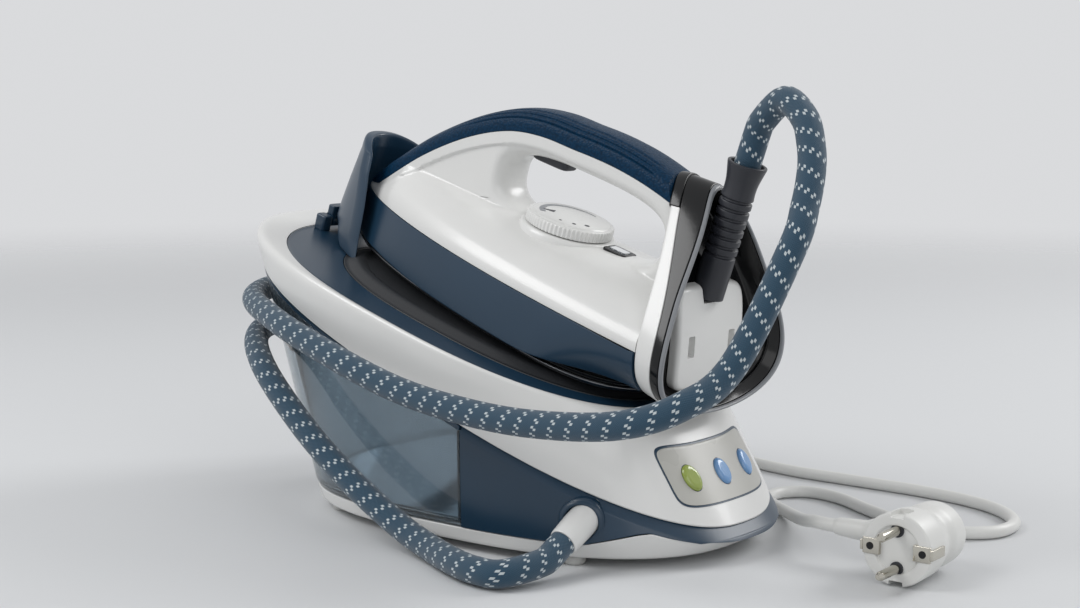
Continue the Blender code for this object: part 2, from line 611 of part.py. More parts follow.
BAND_WALL = 5.0
loft("rear_band", [heel_ring(rear_front_u, 0, 1.5), heel_ring(heel_mid_u, 0, 0.5),
                   heel_ring(heel_mid_u, 0, BAND_WALL), heel_ring(rear_front_u, 0, BAND_WALL)], WHITE, closed=True)
COVER_FLOOR = 2.6
loft("heel_cover", [heel_ring(rear_front_u, GAP, BAND_WALL + 0.5), heel_ring(heel_mid_u, GAP, BAND_WALL + 0.5),
                    heel_ring(heel_mid_u, GAP, 0.5), heel_ring(heel_rear_u, -1.6, 0),
                    heel_ring(heel_rear_u, -1.6, 3), heel_ring(rear_front_u, COVER_FLOOR, 8)], BLACK, mirror=1)
loft("heel_rim", [heel_ring(heel_rear_u, -1.3, 0), heel_ring(heel_rear_u, 0.7, 0.4),
                  heel_ring(heel_rear_u, 0.7, 2.8), heel_ring(heel_rear_u, -1.3, 3.2)], LIGHT, closed=True)


def housing_ring(shift, scale):
    """Rounded plate outline standing off the heel's floor."""
    t = np.linspace(-math.pi / 2, 1.5 * math.pi, 24, endpoint=False)
    c, s = np.cos(t), np.sin(t)
    v = 31.0 * scale * np.sign(c) * np.abs(c) ** 0.5
    w = 40.6 + 26.6 * scale * np.sign(s) * np.abs(s) ** 0.5
    return deck(rear_front_u(w) + shift, v, w)


loft("hose_housing", [housing_ring(COVER_FLOOR + GAP, 1.0), housing_ring(7.0, 1.0), housing_ring(8.5, 0.94)], WHITE,
     mirror=1)
RIBS, RIB_PITCH = 7, 5.0
boot_profile = [(0, 8.8)]
for k in range(RIBS):
    start = 16 + k * RIB_PITCH
    boot_profile += [(start, 8.6), (start + 0.4, 7.6), (start + 1.6, 7.6), (start + 2.0, 8.6)]
boot_profile += [(52, 8.3), (57, 8.6), (boot_length, MOUTH_RADIUS)]
round_piece("hose_boot", boot_foot, BOOT_AXIS, boot_profile, RUBBER, sides=16)

# plug
px, py, pz = PLUG
round_piece("plug_body", PLUG, (0, 1, 0), [(0, PLUG_RADIUS - 1), (1, PLUG_RADIUS), (30, PLUG_RADIUS),
                                           (38, PLUG_RADIUS - 6)], WHITE)
for tag, side in (("low", -1), ("high", 1)):
    round_piece("plug_pin_" + tag, (px, py - GAP, pz + side * PIN_SPACING / 2), (0, -1, 0),
                [(0, 2.4), (17.5, 2.4), (19, 1.4)], METAL, sides=14)
for tag, side in (("left", -1), ("right", 1)):
    x = sorted((px + side * (PLUG_RADIUS + GAP), px + side * (PLUG_RADIUS + 1.5)))
    box("earth_clip_" + tag, (x[0], py + 1, pz - 3), (x[1], py + 15, pz + 3), METAL)
RELIEF_LENGTH = 27.0
relief_end = np.array([px - PLUG_RADIUS - GAP, py + 24, pz])
round_piece("plug_relief", relief_end - np.array([RELIEF_LENGTH, 0, 0]), (1, 0, 0),
            [(0, 4.2), (RELIEF_LENGTH, 6.5)], WHITE, sides=16)

# soft pieces


def smooth_path(points, spacing, straight_start=True, straight_end=True):
    """Catmull-Rom curve through the points, read at even distances; straight end pieces stay as they are."""
    p = np.array(points, float)
    p = np.vstack([2 * p[0] - p[1], p, 2 * p[-1] - p[-2]])
    fine = []
    for i in range(1, len(p) - 2):
        t = np.linspace(0, 1, 24, endpoint=False)[:, None]
        a, b, c, d = p[i - 1], p[i], p[i + 1], p[i + 2]
        fine.append(0.5 * (2 * b + (c - a) * t + (2 * a - 5 * b + 4 * c - d) * t ** 2
                           + (3 * b - a - 3 * c + d) * t ** 3))
    first = fine.pop(0)[:1] if straight_start else np.empty((0, 3))
    last = p[-2][None]
    if straight_end:
        fine[-1] = fine[-1][:1]
    fine = np.vstack(fine if straight_end else fine + [last])
    run = np.concatenate([[0], np.cumsum(np.linalg.norm(np.diff(fine, axis=0), axis=1))])
    at = np.linspace(0, run[-1], max(3, int(round(run[-1] / spacing)) + 1))
    middle = np.column_stack([np.interp(at, run, fine[:, k]) for k in range(3)])
    path = np.vstack([first, middle, last if straight_end else np.empty((0, 3))])
    return path, float(np.linalg.norm(np.diff(path, axis=0), axis=1).sum())


def tube(name, points, diameter, resolution, mat):
    data = bpy.data.curves.new(name, 'CURVE')
    data.dimensions = '3D'
    data.bevel_depth = diameter / 2 * MM
    data.bevel_resolution = resolution
    data.use_fill_caps = True
    line = data.splines.new('POLY')
    line.points.add(len(points) - 1)
    for point, co in zip(line.points, points):
        point.co = (*((co - CENTRE) * MM), 1.0)
    data.materials.append(mat)
    obj = bpy.data.objects.new(name, data)
    bpy.context.collection.objects.link(obj)
    return obj


hose_start = boot_top + BOOT_AXIS * GAP
gland_tip = gland_start + GLAND_AXIS * (GLAND_LENGTH + GAP)
HOSE_ROUTE = [hose_start, hose_start + BOOT_AXIS * HOSE_D, (149, -2, 227), (165, -8, 237), (180, -15, 228), (187, -21, 216),
              (191, -27, 204), (193, -36, 187), (193, -48, 167), (175, -70, 112), (163, -96, 95), (136, -109, 85), (88, -110, 80),
              (43, -110, 81), (-5, -109, 87), (-57, -106, 100), (-112, -94, 113), (-163, -64, 120), (-188, -12, 122),
              (-178, 46, 120), (-140, 90, 116), (-90, 112, 110), (-35, 122, 98), (2, 132, 62), (-20, 142, 20),
              (-72, 146, 9), (-118, 128, 32), (-152, 90, 66), (-181, 40, 91), (-186, -10, 99), (-166, -58, 98),
              (-126, -92, 86), (-82, -103, 57), (-42, -106, 32), (-5, -108, 14), (22, -114, 8), (46, -125, 8),
              (66, -131, 8), (82, -128, 8.2), gland_tip + GLAND_AXIS * HOSE_D, gland_tip]
hose_points, hose_length = smooth_path(HOSE_ROUTE, 2.4 * HOSE_D)
tube("steam_hose", hose_points, HOSE_D, 2, BRAID)

COIL_X, COIL_Y, COIL_OUTER = -110.0, 226.0, 50.0
COIL_PITCH, COIL_LAYER, COIL_TURNS, PER_TURN = 8.2, 8.0, 5.5, 24
floor_z = CORD_D / 2 + 0.2


def coil_points():
    """Spiral in on the floor, climb in the half turn where it reverses, spiral out on the second layer."""
    n = int(COIL_TURNS * PER_TURN)
    turn = np.arange(n + 1) / PER_TURN
    angle = -math.pi / 2 - 2 * math.pi * turn
    middle = COIL_TURNS / 2
    radius = COIL_OUTER - COIL_PITCH * (middle - np.abs(turn - middle))
    rise = np.clip((turn - (middle - 0.25)) / 0.5, 0, 1)
    z = floor_z + COIL_LAYER * rise * rise * (3 - 2 * rise)
    return np.column_stack([COIL_X + radius * np.cos(angle), COIL_Y + radius * np.sin(angle), z])


def least_gap(points, diameter):
    """Least space between turns, leaving out neighbours along the cord."""
    d = np.linalg.norm(points[:, None] - points[None], axis=2)
    i = np.arange(len(points))
    d[np.abs(i[:, None] - i[None]) < 6] = 1e9
    return float(d.min() - diameter)


mains_start = far_wall + np.array([0, 22 + GAP, 0])
coil = coil_points()
LEAD_IN = [mains_start, mains_start + np.array([0, CORD_D, 0]), (60, 128, 12), (52, 152, floor_z),
           (24, 168, floor_z), (-30, 172, floor_z), (-80, 175, floor_z)]
LEAD_OUT = [(-75, 272, floor_z + 5), (-30, 250, floor_z), (-8, 216, floor_z), (20, 190, floor_z),
            (62, 178, floor_z), (108, 177, floor_z), (150, 177, floor_z), (185, 172, floor_z),
            (212, 160, floor_z), (230, 138, floor_z), (230, 114, floor_z), (213, 99, floor_z),
            (185, 100, floor_z), (154, 114, floor_z), (126, 130, floor_z), (104, 133, floor_z),
            (91, 120, floor_z), (93, 102, floor_z), (106, 90, floor_z), (123, 75, floor_z + 1.5),
            (140, 55, floor_z + 5.5), (156, 35, floor_z + 10.5), (170, 22, floor_z + 14.5),
            relief_end - np.array([RELIEF_LENGTH + GAP + CORD_D, 0, 0]),
            relief_end - np.array([RELIEF_LENGTH + GAP, 0, 0])]
lead_in, in_length = smooth_path(LEAD_IN + [coil[0]], 2.2 * CORD_D, straight_end=False)
lead_out, out_length = smooth_path([coil[-1]] + LEAD_OUT, 2.2 * CORD_D, straight_start=False)
cord_points = np.vstack([lead_in[:-1], coil, lead_out[1:]])
tube("mains_cord", cord_points, CORD_D, 1, WHITE)
coil_length = float(np.linalg.norm(np.diff(coil, axis=0), axis=1).sum())
print("coil least gap mm", round(least_gap(coil, CORD_D), 2))
print("hose length mm", round(hose_length), "cord length mm", round(in_length + out_length + coil_length))
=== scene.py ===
"""Steam generator iron: the looks of the packed part, built as surfaces worked out with numpy.

World axes: +X toward the control panel, -Y the near side, +Z up, floor at z = 0.
Sizes are in millimetres and become metres when a mesh is made.  Pieces of the iron are drawn in
deck axes: u down the slope of the deck, v across it and w square to it.
"""
import json
import math

import bmesh
import bpy
import numpy as np
from bpy.props import FloatProperty, FloatVectorProperty, IntProperty, PointerProperty
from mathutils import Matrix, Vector


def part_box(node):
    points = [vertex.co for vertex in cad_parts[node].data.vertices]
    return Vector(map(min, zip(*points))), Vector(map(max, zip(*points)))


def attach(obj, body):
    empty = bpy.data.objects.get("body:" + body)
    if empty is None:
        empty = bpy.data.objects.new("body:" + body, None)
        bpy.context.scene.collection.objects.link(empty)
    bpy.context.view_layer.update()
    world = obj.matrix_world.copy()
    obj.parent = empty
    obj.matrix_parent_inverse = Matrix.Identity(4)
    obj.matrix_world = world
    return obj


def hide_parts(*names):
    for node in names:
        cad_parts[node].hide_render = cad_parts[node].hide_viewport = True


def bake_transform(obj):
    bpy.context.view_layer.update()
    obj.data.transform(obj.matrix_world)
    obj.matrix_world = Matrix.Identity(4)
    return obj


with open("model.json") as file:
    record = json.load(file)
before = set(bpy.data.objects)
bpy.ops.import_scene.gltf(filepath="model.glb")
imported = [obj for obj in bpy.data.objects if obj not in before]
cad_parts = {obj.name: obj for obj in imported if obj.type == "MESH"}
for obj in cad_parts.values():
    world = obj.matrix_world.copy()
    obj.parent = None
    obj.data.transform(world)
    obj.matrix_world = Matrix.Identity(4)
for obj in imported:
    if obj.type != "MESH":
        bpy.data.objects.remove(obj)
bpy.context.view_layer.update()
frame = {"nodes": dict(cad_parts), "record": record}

bl_info = {
    "name": "Steam generator iron",
    "version": (1, 0, 0),
    "blender": (4, 5, 0),
    "location": "3D View > Sidebar > Iron",
    "description": "Builds the surfaces and finishes of a steam generator iron round its packed part",
    "category": "Object",
}

SLOT_OF = {row["node"]: row["material_slot"] for row in frame["record"]["subparts"]}
MM = 0.001
GAP = 0.3                      # clearance between touching pieces
WALL = 2.4                     # casing wall
CREASE = 35.0                  # degrees; edges sharper than this stay sharp
ROUND_STEPS = 5                # facets of a rounded corner

# base: two outlines joined by straight lines; an outline is its tank end, panel end and half width
POWER = 2.55                   # squareness of the base outlines
BOTTOM = (-138.0, 150.0, 88.0)  # at BOTTOM_Z
TOP = (-188.0, 104.0, 92.0)    # on the deck plane
BOTTOM_Z = 6.0
DECK_TILT = math.radians(18.0)
DECK_Z = 109.0                 # deck plane over the origin
BAND_Z, BAND_SLOPE = 76.0, -0.41  # lower edge of the white shell
TRAY_BOTTOM, TRAY_TOP = 5.0, 13.0
TRAY_PEAK = ((92.0, 116.0, 121.0, 138.0), (0.0, 6.0, 6.6, 0.0))  # x, and the rise of the tray's edge
SEAM_X = 20.0                  # tank and casing meet here
OPENING = (-161.0, 99.0, 88.4)  # deck opening in the white shell
REST = (-122.0, 91.0, 70.0)    # heat-proof rest
REST_TOP = (-114.0, 84.0, 62.0)
REST_HEIGHT = 3.0
LET_IN = 4.0                   # rim and rest reach this far below the deck plane
PADS = {"front": ((-112, -8), (-78, 8)), "near": ((0, -40), (60, -30)), "far": ((0, 30), (60, 40))}
AROUND = 288                   # points round the base
FEET = {"front_near": (80, -68), "front_far": (80, 68), "back_near": (-95, -60), "back_far": (-95, 60)}
FOOT_RADIUS = 6.0
TANK_WALL, TANK_FLOOR = 2.6, 3.0

# control panel on the front face
PANEL_ANGLE = math.radians(20.8)
PANEL_LOW, PANEL_HIGH = 0.34, 0.76  # shares of the wall's height
ANGLE_PER_MM, LEVEL_PER_MM = 0.0075, 0.0095
BUTTONS = {"eco": (-0.20, "green"), "power": (0.0, "blue"), "refill": (0.20, "blue")}
BUTTON_LEVEL = 0.53
BUTTON_HALF = (5.5, 7.5)
BUTTON_STEM, BUTTON_EDGE, BUTTON_DOME = 4.5, 0.5, 1.9

# lock arm: hinge in deck axes, then tables over the height above it
ARM_U, ARM_W = -162.0, 5.0
ARM_LEVELS = (-5.0, 5.0, 22.0, 42.0, 53.0, 62.0)
ARM_HALF = (38.5, 35.5, 33.0, 28.5, 25.0, 22.5)
ARM_BACK = (0.0, 1.0, 3.5, 7.5, 10.0, 10.5)
ARM_WRAP = (47.0, 42.0, 36.5, 25.0, 19.0, 14.5)
ARM_FOOT = ((0.55, 0.62, 0.74, 0.8), (5.0, 4.0, -3.0, -4.6))  # share across, height of the lower edge
ARM_SHOULDER, ARM_CROWN, ARM_THICK = 54.5, 6.5, 8.0
ARM_EDGE = 0.06                # rounded share of each half
KNUCKLE_HALF, KNUCKLE_RADIUS = 12.0, 4.2
LUG_END, LUG_LOW, LUG_HIGH = 19.4, -1.6, 8.4

# iron, deck axes
SOLE_W, SOLE_THICK = 5.3, 3.0
SKIRT_LOW, SKIRT_HIGH = 11.5, 36.0
NOSE_U = -143.0
SKIRT_HALF = 59.0              # at its top edge
SKIRT_FLARE, SKIRT_RAKE, SKIRT_SAG = 5.0, 4.0, 2.6  # how far its lower edge runs out, forward and down
HANDLE_HALF = 17.0
GRIP_HEIGHT = 13.5
LEAN_FROM = -20.0              # sections behind this lean back
SPINE_U = (-143.0, -127.0, -94.5, -42.0, 20.8, 97.0, 104.0)
SPINE_W = (38.0, 53.0, 84.0, 116.0, 122.0, 117.4, 116.0)
HOLE_U, HOLE_W, HOLE_LONG, HOLE_HIGH = 17.5, 78.75, 56.0, 17.75
HOLE_POWER = 3.0
HOLE_ROUND, HOLE_ROUND_POWER = 8.0, 2.4
SIDE_RECESS = 1.5              # depth of the flat beside the handle's frame
BODY_CREASE = 50.0
DIAL_U, DIAL_RADIUS, DIAL_LOW, DIAL_HIGH = 5.0, 25.0, 62.0, 69.0
MARK_RADIUS, DOT_RADIUS, DOT_SIZES = 17.0, 16.0, (0.8, 1.1, 1.4)
MARK_LOW, MARK_HIGH = -0.3, 0.12  # the marks reach this far below and above the dial's top
HEEL_LOW, HEEL_HIGH = 4.0, 118.0
HEEL_EYE, HEEL_SHRINK = 52.0, (45.0, 57.0)  # insets shrink the outline toward this height
HEEL_INSETS = (43, 32, 20, 12)
HEEL_SWEEP, BAND_SWEEP = 6.0, 4.0  # toward the top the heel runs back and its white band gets thinner
BAND_WALL = 5.0
COVER_FLOOR = 2.6
HEEL_BAND, HEEL_DEPTH = 11.0, 18.0
HOUSING_W, HOUSING_RISE = 40.6, 8.5
HOUSING_HALF = (31.0, 26.6)
VENT_V, VENT_HALF = 19.0, 3.0  # slots beside the boot
VENT_U, VENT_W = (106.9, 130.0), (32.0, 43.0)
BOOT_FOOT, BOOT_TOP = (101.5, 67.5), (102.5, 134.0)
BOOT_RADIUS, MOUTH_RADIUS = 8.7, 10.5
MOUTH_DEPTH = 7.0              # the hose goes this far into the boot
RIB_FROM, RIB_PITCH, RIB_DEPTH = 16.0, 5.0, 1.2
TRIGGER = ((-28.0, -6.5, 91.8), (-3.0, 6.5, 99.5))
LENS = ((36.0, -3.7, 60.2), (47.4, 3.7, 62.4))

# hose and mains lead
GLAND_X, GLAND_Z = 90.0, 24.5
GLAND_AXIS = np.array([0.0, -0.9, -0.436])
GLAND_R, GLAND_OUT = 8.3, 17.0
GLAND_INNER_Y = 56.5           # inner end of the sleeve, from the middle plane
LEAD_X, LEAD_Z = 60.0, 24.0
LEAD_GLAND_R, LEAD_GLAND_IN, LEAD_GLAND_OUT = 6.0, 8.0, 22.0
HOSE_TURNS = [
    (149, -2, 227), (165, -8, 237), (180, -15, 228), (187, -21, 216), (191, -27, 204), (193, -36, 187),
    (193, -48, 167), (175, -70, 112), (163, -96, 95), (136, -109, 85), (88, -110, 80), (43, -110, 81),
    (-5, -109, 87), (-57, -106, 100), (-112, -94, 113), (-163, -64, 120), (-188, -12, 122), (-178, 46, 120),
    (-140, 90, 116), (-90, 112, 110), (-35, 122, 98), (2, 132, 62), (-20, 142, 20), (-72, 146, 9),
    (-118, 128, 32), (-152, 90, 66), (-181, 40, 91), (-186, -10, 99), (-166, -58, 98), (-126, -92, 86),
    (-82, -103, 57), (-42, -106, 32), (-5, -108, 14), (22, -114, 8), (46, -125, 8), (66, -131, 8),
    (82, -128, 8.2)]
LEAD_FLOAT = 0.2               # daylight under the lead; the heights below are over the lead on the floor
LEAD_IN = ((60, 128, 8.3), (52, 152, 0), (24, 168, 0), (-30, 172, 0), (-80, 175, 0))
LEAD_OUT = (
    (-75, 272, 5), (-30, 250, 0), (-8, 216, 0), (20, 190, 0), (62, 178, 0), (108, 177, 0), (150, 177, 0),
    (185, 172, 0), (212, 160, 0), (230, 138, 0), (230, 114, 0), (213, 99, 0), (185, 100, 0), (154, 114, 0),
    (126, 130, 0), (104, 133, 0), (91, 120, 0), (93, 102, 0), (106, 90, 0), (123, 75, 1.5), (140, 55, 5.5),
    (156, 35, 10.5), (170, 22, 14.5))
COIL_X, COIL_Y, COIL_OUTER = -110.0, 226.0, 50.0
COIL_PITCH, COIL_LAYER, COIL_TURNS = 8.2, 8.0, 5.5
TIE_HALF, TIE_IN, TIE_OUT = 2.5, 0.2, 1.0

# plug: middle of its face, pins toward -Y
PLUG = np.array([230.0, -6.0, 19.0])
PLUG_RADIUS, PLUG_LENGTH = 18.5, 47.0
PIN_SPACING, PIN_RADIUS, PIN_LENGTH, PIN_FOOT = 19.0, 2.4, 19.0, 1.6
RELIEF_LENGTH, RELIEF_Y = 27.0, 24.0
RELIEF_INTO = 6.0              # the relief runs this far into the body

# camera, fitted to the photograph
LENS_MM, SENSOR_MM = 56.67, 36.0
CAMERA_AZIMUTH, CAMERA_HEIGHT = math.radians(38.4), math.radians(7.0)
CAMERA_TARGET = np.array([3.5, 0.0, 122.1])
CAMERA_DISTANCE = 961.3

# stage, in metres and watts
FLOOR_RADIUS, FLOOR_CLEAR = 3.0, (0.9, 2.4)  # the floor fades out between the last two
LAMPS = {"key": (25.0, 1.2, (-0.9, -1.3, 1.7)), "fill": (6.5, 1.4, (1.6, -0.9, 0.9)),
         "rim": (16.0, 0.9, (0.9, 1.5, 1.3))}  # power, size, place
WORLD_LIGHT, WORLD_SEEN = 0.45, 0.72

CENTRE = np.array([TOP[0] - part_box("upper_shell")[0].x / MM, 0.0, 0.0])


def linear(code):
    """sRGB hex to linear red, green and blue."""
    parts = [int(code[i:i + 2], 16) / 255 for i in (1, 3, 5)]
    return tuple(p / 12.92 if p <= 0.04045 else ((p + 0.055) / 1.055) ** 2.4 for p in parts)


def sizes():
    """Sizes set in the panel."""
    return bpy.context.scene.iron_sizes


def colours():
    """Colours set in the panel."""
    return bpy.context.scene.iron_colours


def smooth(x):
    """Smoothstep of a value clipped to 0..1."""
    x = np.clip(x, 0.0, 1.0)
    return x * x * (3 - 2 * x)


def power(x, p):
    """Signed power, for superellipses."""
    return np.sign(x) * np.abs(x) ** p


def full_turn(count):
    """Angles at even steps once round."""
    return np.linspace(0, 2 * math.pi, count, endpoint=False)


def unit(vectors):
    """Vectors scaled to length one."""
    return vectors / np.linalg.norm(vectors, axis=-1, keepdims=True)


def deck(u, v, w):
    """World point of deck coordinates: turn by the tilt, then lift by the deck height."""
    c, s = math.cos(DECK_TILT), math.sin(DECK_TILT)
    return np.stack(np.broadcast_arrays(u * c + w * s, v, DECK_Z - u * s + w * c), -1).astype(float)


DECK_PLANE = (DECK_Z, -math.tan(DECK_TILT))
DECK_UP = deck(0.0, 0.0, 1.0) - deck(0.0, 0.0, 0.0)
TURN = full_turn(AROUND)


def band_plane(drop):
    """Plane parallel to the lower edge of the white shell, as z = a + b x."""
    return (BAND_Z - drop, BAND_SLOPE)


def deck_plane(rise):
    """Plane parallel to the deck, a rise above it."""
    return (DECK_Z + rise / math.cos(DECK_TILT), -math.tan(DECK_TILT))


def outline(shape, theta, inset=0.0):
    """Superellipse: x and y are signed powers of cosine and sine."""
    back, front, half = shape
    back, front, half = back + inset, front - inset, half - inset
    x = (back + front) / 2 + (front - back) / 2 * power(np.cos(theta), 2 / POWER)
    return x, half * power(np.sin(theta), 2 / POWER)


def wall_level(theta, level, inset=0.0):
    """Base wall: the straight line from the bottom outline to the one on the deck, read at a level."""
    theta = np.asarray(theta, float)
    x0, y0 = outline(BOTTOM, theta, inset)
    x1, y1 = outline(TOP, theta, inset)
    z1 = DECK_PLANE[0] + DECK_PLANE[1] * x1
    low = np.stack([x0, y0, np.full(x0.shape, BOTTOM_Z)], -1)
    return low + (np.stack([x1, y1, z1], -1) - low) * np.asarray(level)[..., None]


def wall(theta, plane, inset=0.0):
    """Base wall where it meets the plane z = a + b x."""
    p0 = wall_level(theta, 0.0, inset)
    d = wall_level(theta, 1.0, inset) - p0
    level = (plane[0] + plane[1] * p0[:, 0] - p0[:, 2]) / (d[:, 2] - plane[1] * d[:, 0])
    return p0 + d * level[:, None]


def flat_ring(shape, plane, inset=0.0):
    """An outline laid on a plane."""
    x, y = outline(shape, TURN, inset)
    return np.stack([x, y, plane[0] + plane[1] * x], -1)


def seam_run(plane, inset, x_seam, tank_side, count=200):
    """Open run of wall points from the seam on the near side round one end to the far side."""
    lo, hi = 0.05, math.pi - 0.05
    for _ in range(50):
        mid = (lo + hi) / 2
        if wall(np.array([mid]), plane, inset)[0, 0] > x_seam:
            lo = mid
        else:
            hi = mid
    ends = (2 * math.pi - lo, lo) if tank_side else (-lo, lo)
    points = wall(np.linspace(*ends, count), plane, inset)
    points[0, 0] = points[-1, 0] = x_seam
    return points


def arc(start, corner, end, t):
    """Quadratic curve from start to end that leaves and arrives toward the corner."""
    return (1 - t) ** 2 * start + 2 * t * (1 - t) * corner + t * t * end


def soften(rings, radii, closed=True):
    """Rounds corner rings: each becomes a quadratic arc between points set back along its two sides."""
    t = np.linspace(0, 1, ROUND_STEPS + 1)[:, None, None]
    out = []
    count = len(rings)
    for i, (ring, radius) in enumerate(zip(rings, radii)):
        if radius <= 0 or (not closed and i in (0, count - 1)):
            out.append(ring[None])
            continue
        before, after = rings[i - 1] - ring, rings[(i + 1) % count] - ring
        lb, la = (np.linalg.norm(d, axis=-1, keepdims=True) + 1e-9 for d in (before, after))
        start = ring + before / lb * np.minimum(radius, 0.45 * lb)
        end = ring + after / la * np.minimum(radius, 0.45 * la)
        out.append(arc(start, ring, end, t))
    return np.concatenate(out)


def grid_faces(rows, cols, wrap_rows, wrap_cols):
    """Quads of a grid of points, as rows of four indices."""
    r = np.arange(rows if wrap_rows else rows - 1)[:, None]
    c = np.arange(cols if wrap_cols else cols - 1)[None, :]
    r2, c2 = (r + 1) % rows, (c + 1) % cols
    corners = np.broadcast_arrays(r * cols + c, r * cols + c2, r2 * cols + c2, r2 * cols + c)
    return np.stack(corners, -1).reshape(-1, 4)


def piece(name, points, faces, look, body=None, replaces=None, slot=None, corner_uv=None, crease=CREASE):
    """Closed mesh in millimetres: faces turned outward, the object at the origin, riding on a body.

    look names its finish, replaces the node of the packed part that it stands for.
    """
    mesh = bpy.data.meshes.new(name)
    mesh.from_pydata(((points - CENTRE) * MM).tolist(), [], faces)
    if corner_uv is not None:
        mesh.uv_layers.new(name="UVMap").data.foreach_set("uv", corner_uv.astype(np.float32).ravel())
    bm = bmesh.new()
    bm.from_mesh(mesh)
    if bm.calc_volume(signed=True) < 0:
        bmesh.ops.reverse_faces(bm, faces=bm.faces)
    bm.to_mesh(mesh)
    bm.free()
    mesh.shade_smooth()
    mesh.set_sharp_from_angle(angle=math.radians(crease))
    obj = bpy.data.objects.new(name, mesh)
    bpy.context.scene.collection.objects.link(obj)
    if look:
        mesh.materials.append(finish(look))
    if body:
        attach(obj, body)
    if replaces:
        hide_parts(replaces)
        slot = slot or SLOT_OF[replaces]
    return obj


def skin(name, grid, look, body=None, replaces=None, wrap_rows=False, wrap_cols=True,
         around=None, along=None, **kw):
    """Grid of points as a closed surface: an end that isn't wrapped gets a flat cap."""
    rows, cols = grid.shape[:2]
    faces = grid_faces(rows, cols, wrap_rows, wrap_cols)
    index = np.arange(rows * cols).reshape(rows, cols)
    caps = []
    if not wrap_rows:
        caps += [index[0], index[-1][::-1]]
    if not wrap_cols:
        caps += [index[:, 0][::-1], index[:, -1]]
    corner_uv = None
    if around is not None:
        r, c = np.divmod(np.arange(len(faces)), cols if wrap_cols else cols - 1)
        corners = ((0, 0), (1, 0), (1, 1), (0, 1))
        quads = np.stack([np.stack([around[c + i], along[r + j]], -1) for i, j in corners], 1)
        spare = np.zeros((sum(len(cap) for cap in caps), 2))
        corner_uv = np.concatenate([quads.reshape(-1, 2), spare])
    faces = faces.tolist() + [cap.tolist() for cap in caps]
    return piece(name, grid.reshape(-1, 3), faces, look, body, replaces, corner_uv=corner_uv, **kw)


def carve(obj, *tools, crease=CREASE):
    """Cuts closed tool meshes out of a piece, leaves one plain mesh and removes the tools."""
    for tool in tools:
        cut = obj.modifiers.new("cut", 'BOOLEAN')
        cut.solver = 'EXACT'
        cut.object = tool
    graph = bpy.context.evaluated_depsgraph_get()
    mesh = bpy.data.meshes.new_from_object(obj.evaluated_get(graph))
    obj.modifiers.clear()
    obj.data = mesh
    mesh.set_sharp_from_angle(angle=math.radians(crease))
    for tool in tools:
        bpy.data.objects.remove(tool, do_unlink=True)
    return obj


def turned(start, axis, profile, sides, radii=None):
    """Surface of revolution: each (distance, radius) pair of the profile is a circle round the axis."""
    axis = unit(np.asarray(axis, float))
    side = unit(np.cross(axis, (0.0, 1.0, 0.0) if abs(axis[1]) < 0.9 else (1.0, 0.0, 0.0)))
    other = np.cross(axis, side)
    t = full_turn(sides)
    circle = np.cos(t)[:, None] * side + np.sin(t)[:, None] * other
    profile = np.asarray(profile, float)
    rings = np.asarray(start, float) + axis * profile[:, :1, None] + circle * profile[:, 1:, None]
    if radii is None:
        return rings
    return soften(list(rings), radii, closed=False)


def pillow(low, high, place, edge, square=6.0):
    """Rounded block: superellipse sections that draw in toward both ends along the third axis."""
    low, high = np.asarray(low, float), np.asarray(high, float)
    mid, half = (low + high) / 2, (high - low) / 2
    t = full_turn(64)
    a = np.linspace(0, math.pi / 2, 6)
    draw = np.concatenate([edge * (1 - np.sin(a)), edge * (1 - np.cos(a))])
    level = np.concatenate([-half[2] + edge * (1 - np.cos(a)), half[2] - edge * (1 - np.sin(a))])
    x = mid[0] + (half[0] - draw[:, None]) * power(np.cos(t), 2 / square)
    y = mid[1] + (half[1] - draw[:, None]) * power(np.sin(t), 2 / square)
    return place(x, y, np.broadcast_to(mid[2] + level[:, None], x.shape))


def as_is(x, y, z):
    """World point of world coordinates."""
    return np.stack(np.broadcast_arrays(x, y, z), -1).astype(float)


# finishes


def add(tree, kind, links=None, **settings):
    """Adds a shader node, sets its properties, and fills or links its inputs."""
    made = tree.nodes.new("ShaderNode" + kind)
    for key, value in settings.items():
        setattr(made, key, value)
    for key, value in (links or {}).items():
        if isinstance(value, bpy.types.NodeSocket):
            tree.links.new(value, made.inputs[key])
        else:
            made.inputs[key].default_value = value
    return made


def per_mm(size):
    """Texture scale in which one pattern cell has that size in millimetres."""
    return 1000.0 / size


def blank(name, **sockets):
    """A new material with constant values on its shader's own sockets, and the places it can read."""
    mat = bpy.data.materials.new(name)
    mat.use_nodes = True
    shader = mat.node_tree.nodes["Principled BSDF"]
    for key, value in sockets.items():
        shader.inputs[key.replace("_", " ")].default_value = value
    return mat, mat.node_tree, shader, add(mat.node_tree, "TexCoord").outputs


def noise(tree, place, cell, detail):
    """Soft noise whose cells have that size in millimetres."""
    links = {"Vector": place, "Scale": per_mm(cell), "Detail": detail}
    return add(tree, "TexNoise", links).outputs["Fac"]


def toned(colour, by=1.0):
    """A colour made darker or lighter, with full opacity."""
    return tuple(c * by for c in colour) + (1.0,)


def dress(tree, shader, pattern, tones, rough, height, strength, depth, invert=False):
    """One pattern drives a shader's colour between two tones and its roughness; a height gives relief."""
    mix = add(tree, "Mix", {0: pattern, 6: tones[0], 7: tones[1]}, data_type='RGBA')
    gloss = add(tree, "MapRange", {0: pattern, 3: rough[0], 4: rough[1]})
    links = {"Strength": strength, "Distance": depth * MM, "Height": height}
    bump = add(tree, "Bump", links, invert=invert)
    for value, socket in ((mix.outputs[2], "Base Color"), (gloss.outputs[0], "Roughness"),
                          (bump.outputs[0], "Normal")):
        tree.links.new(value, shader.inputs[socket])


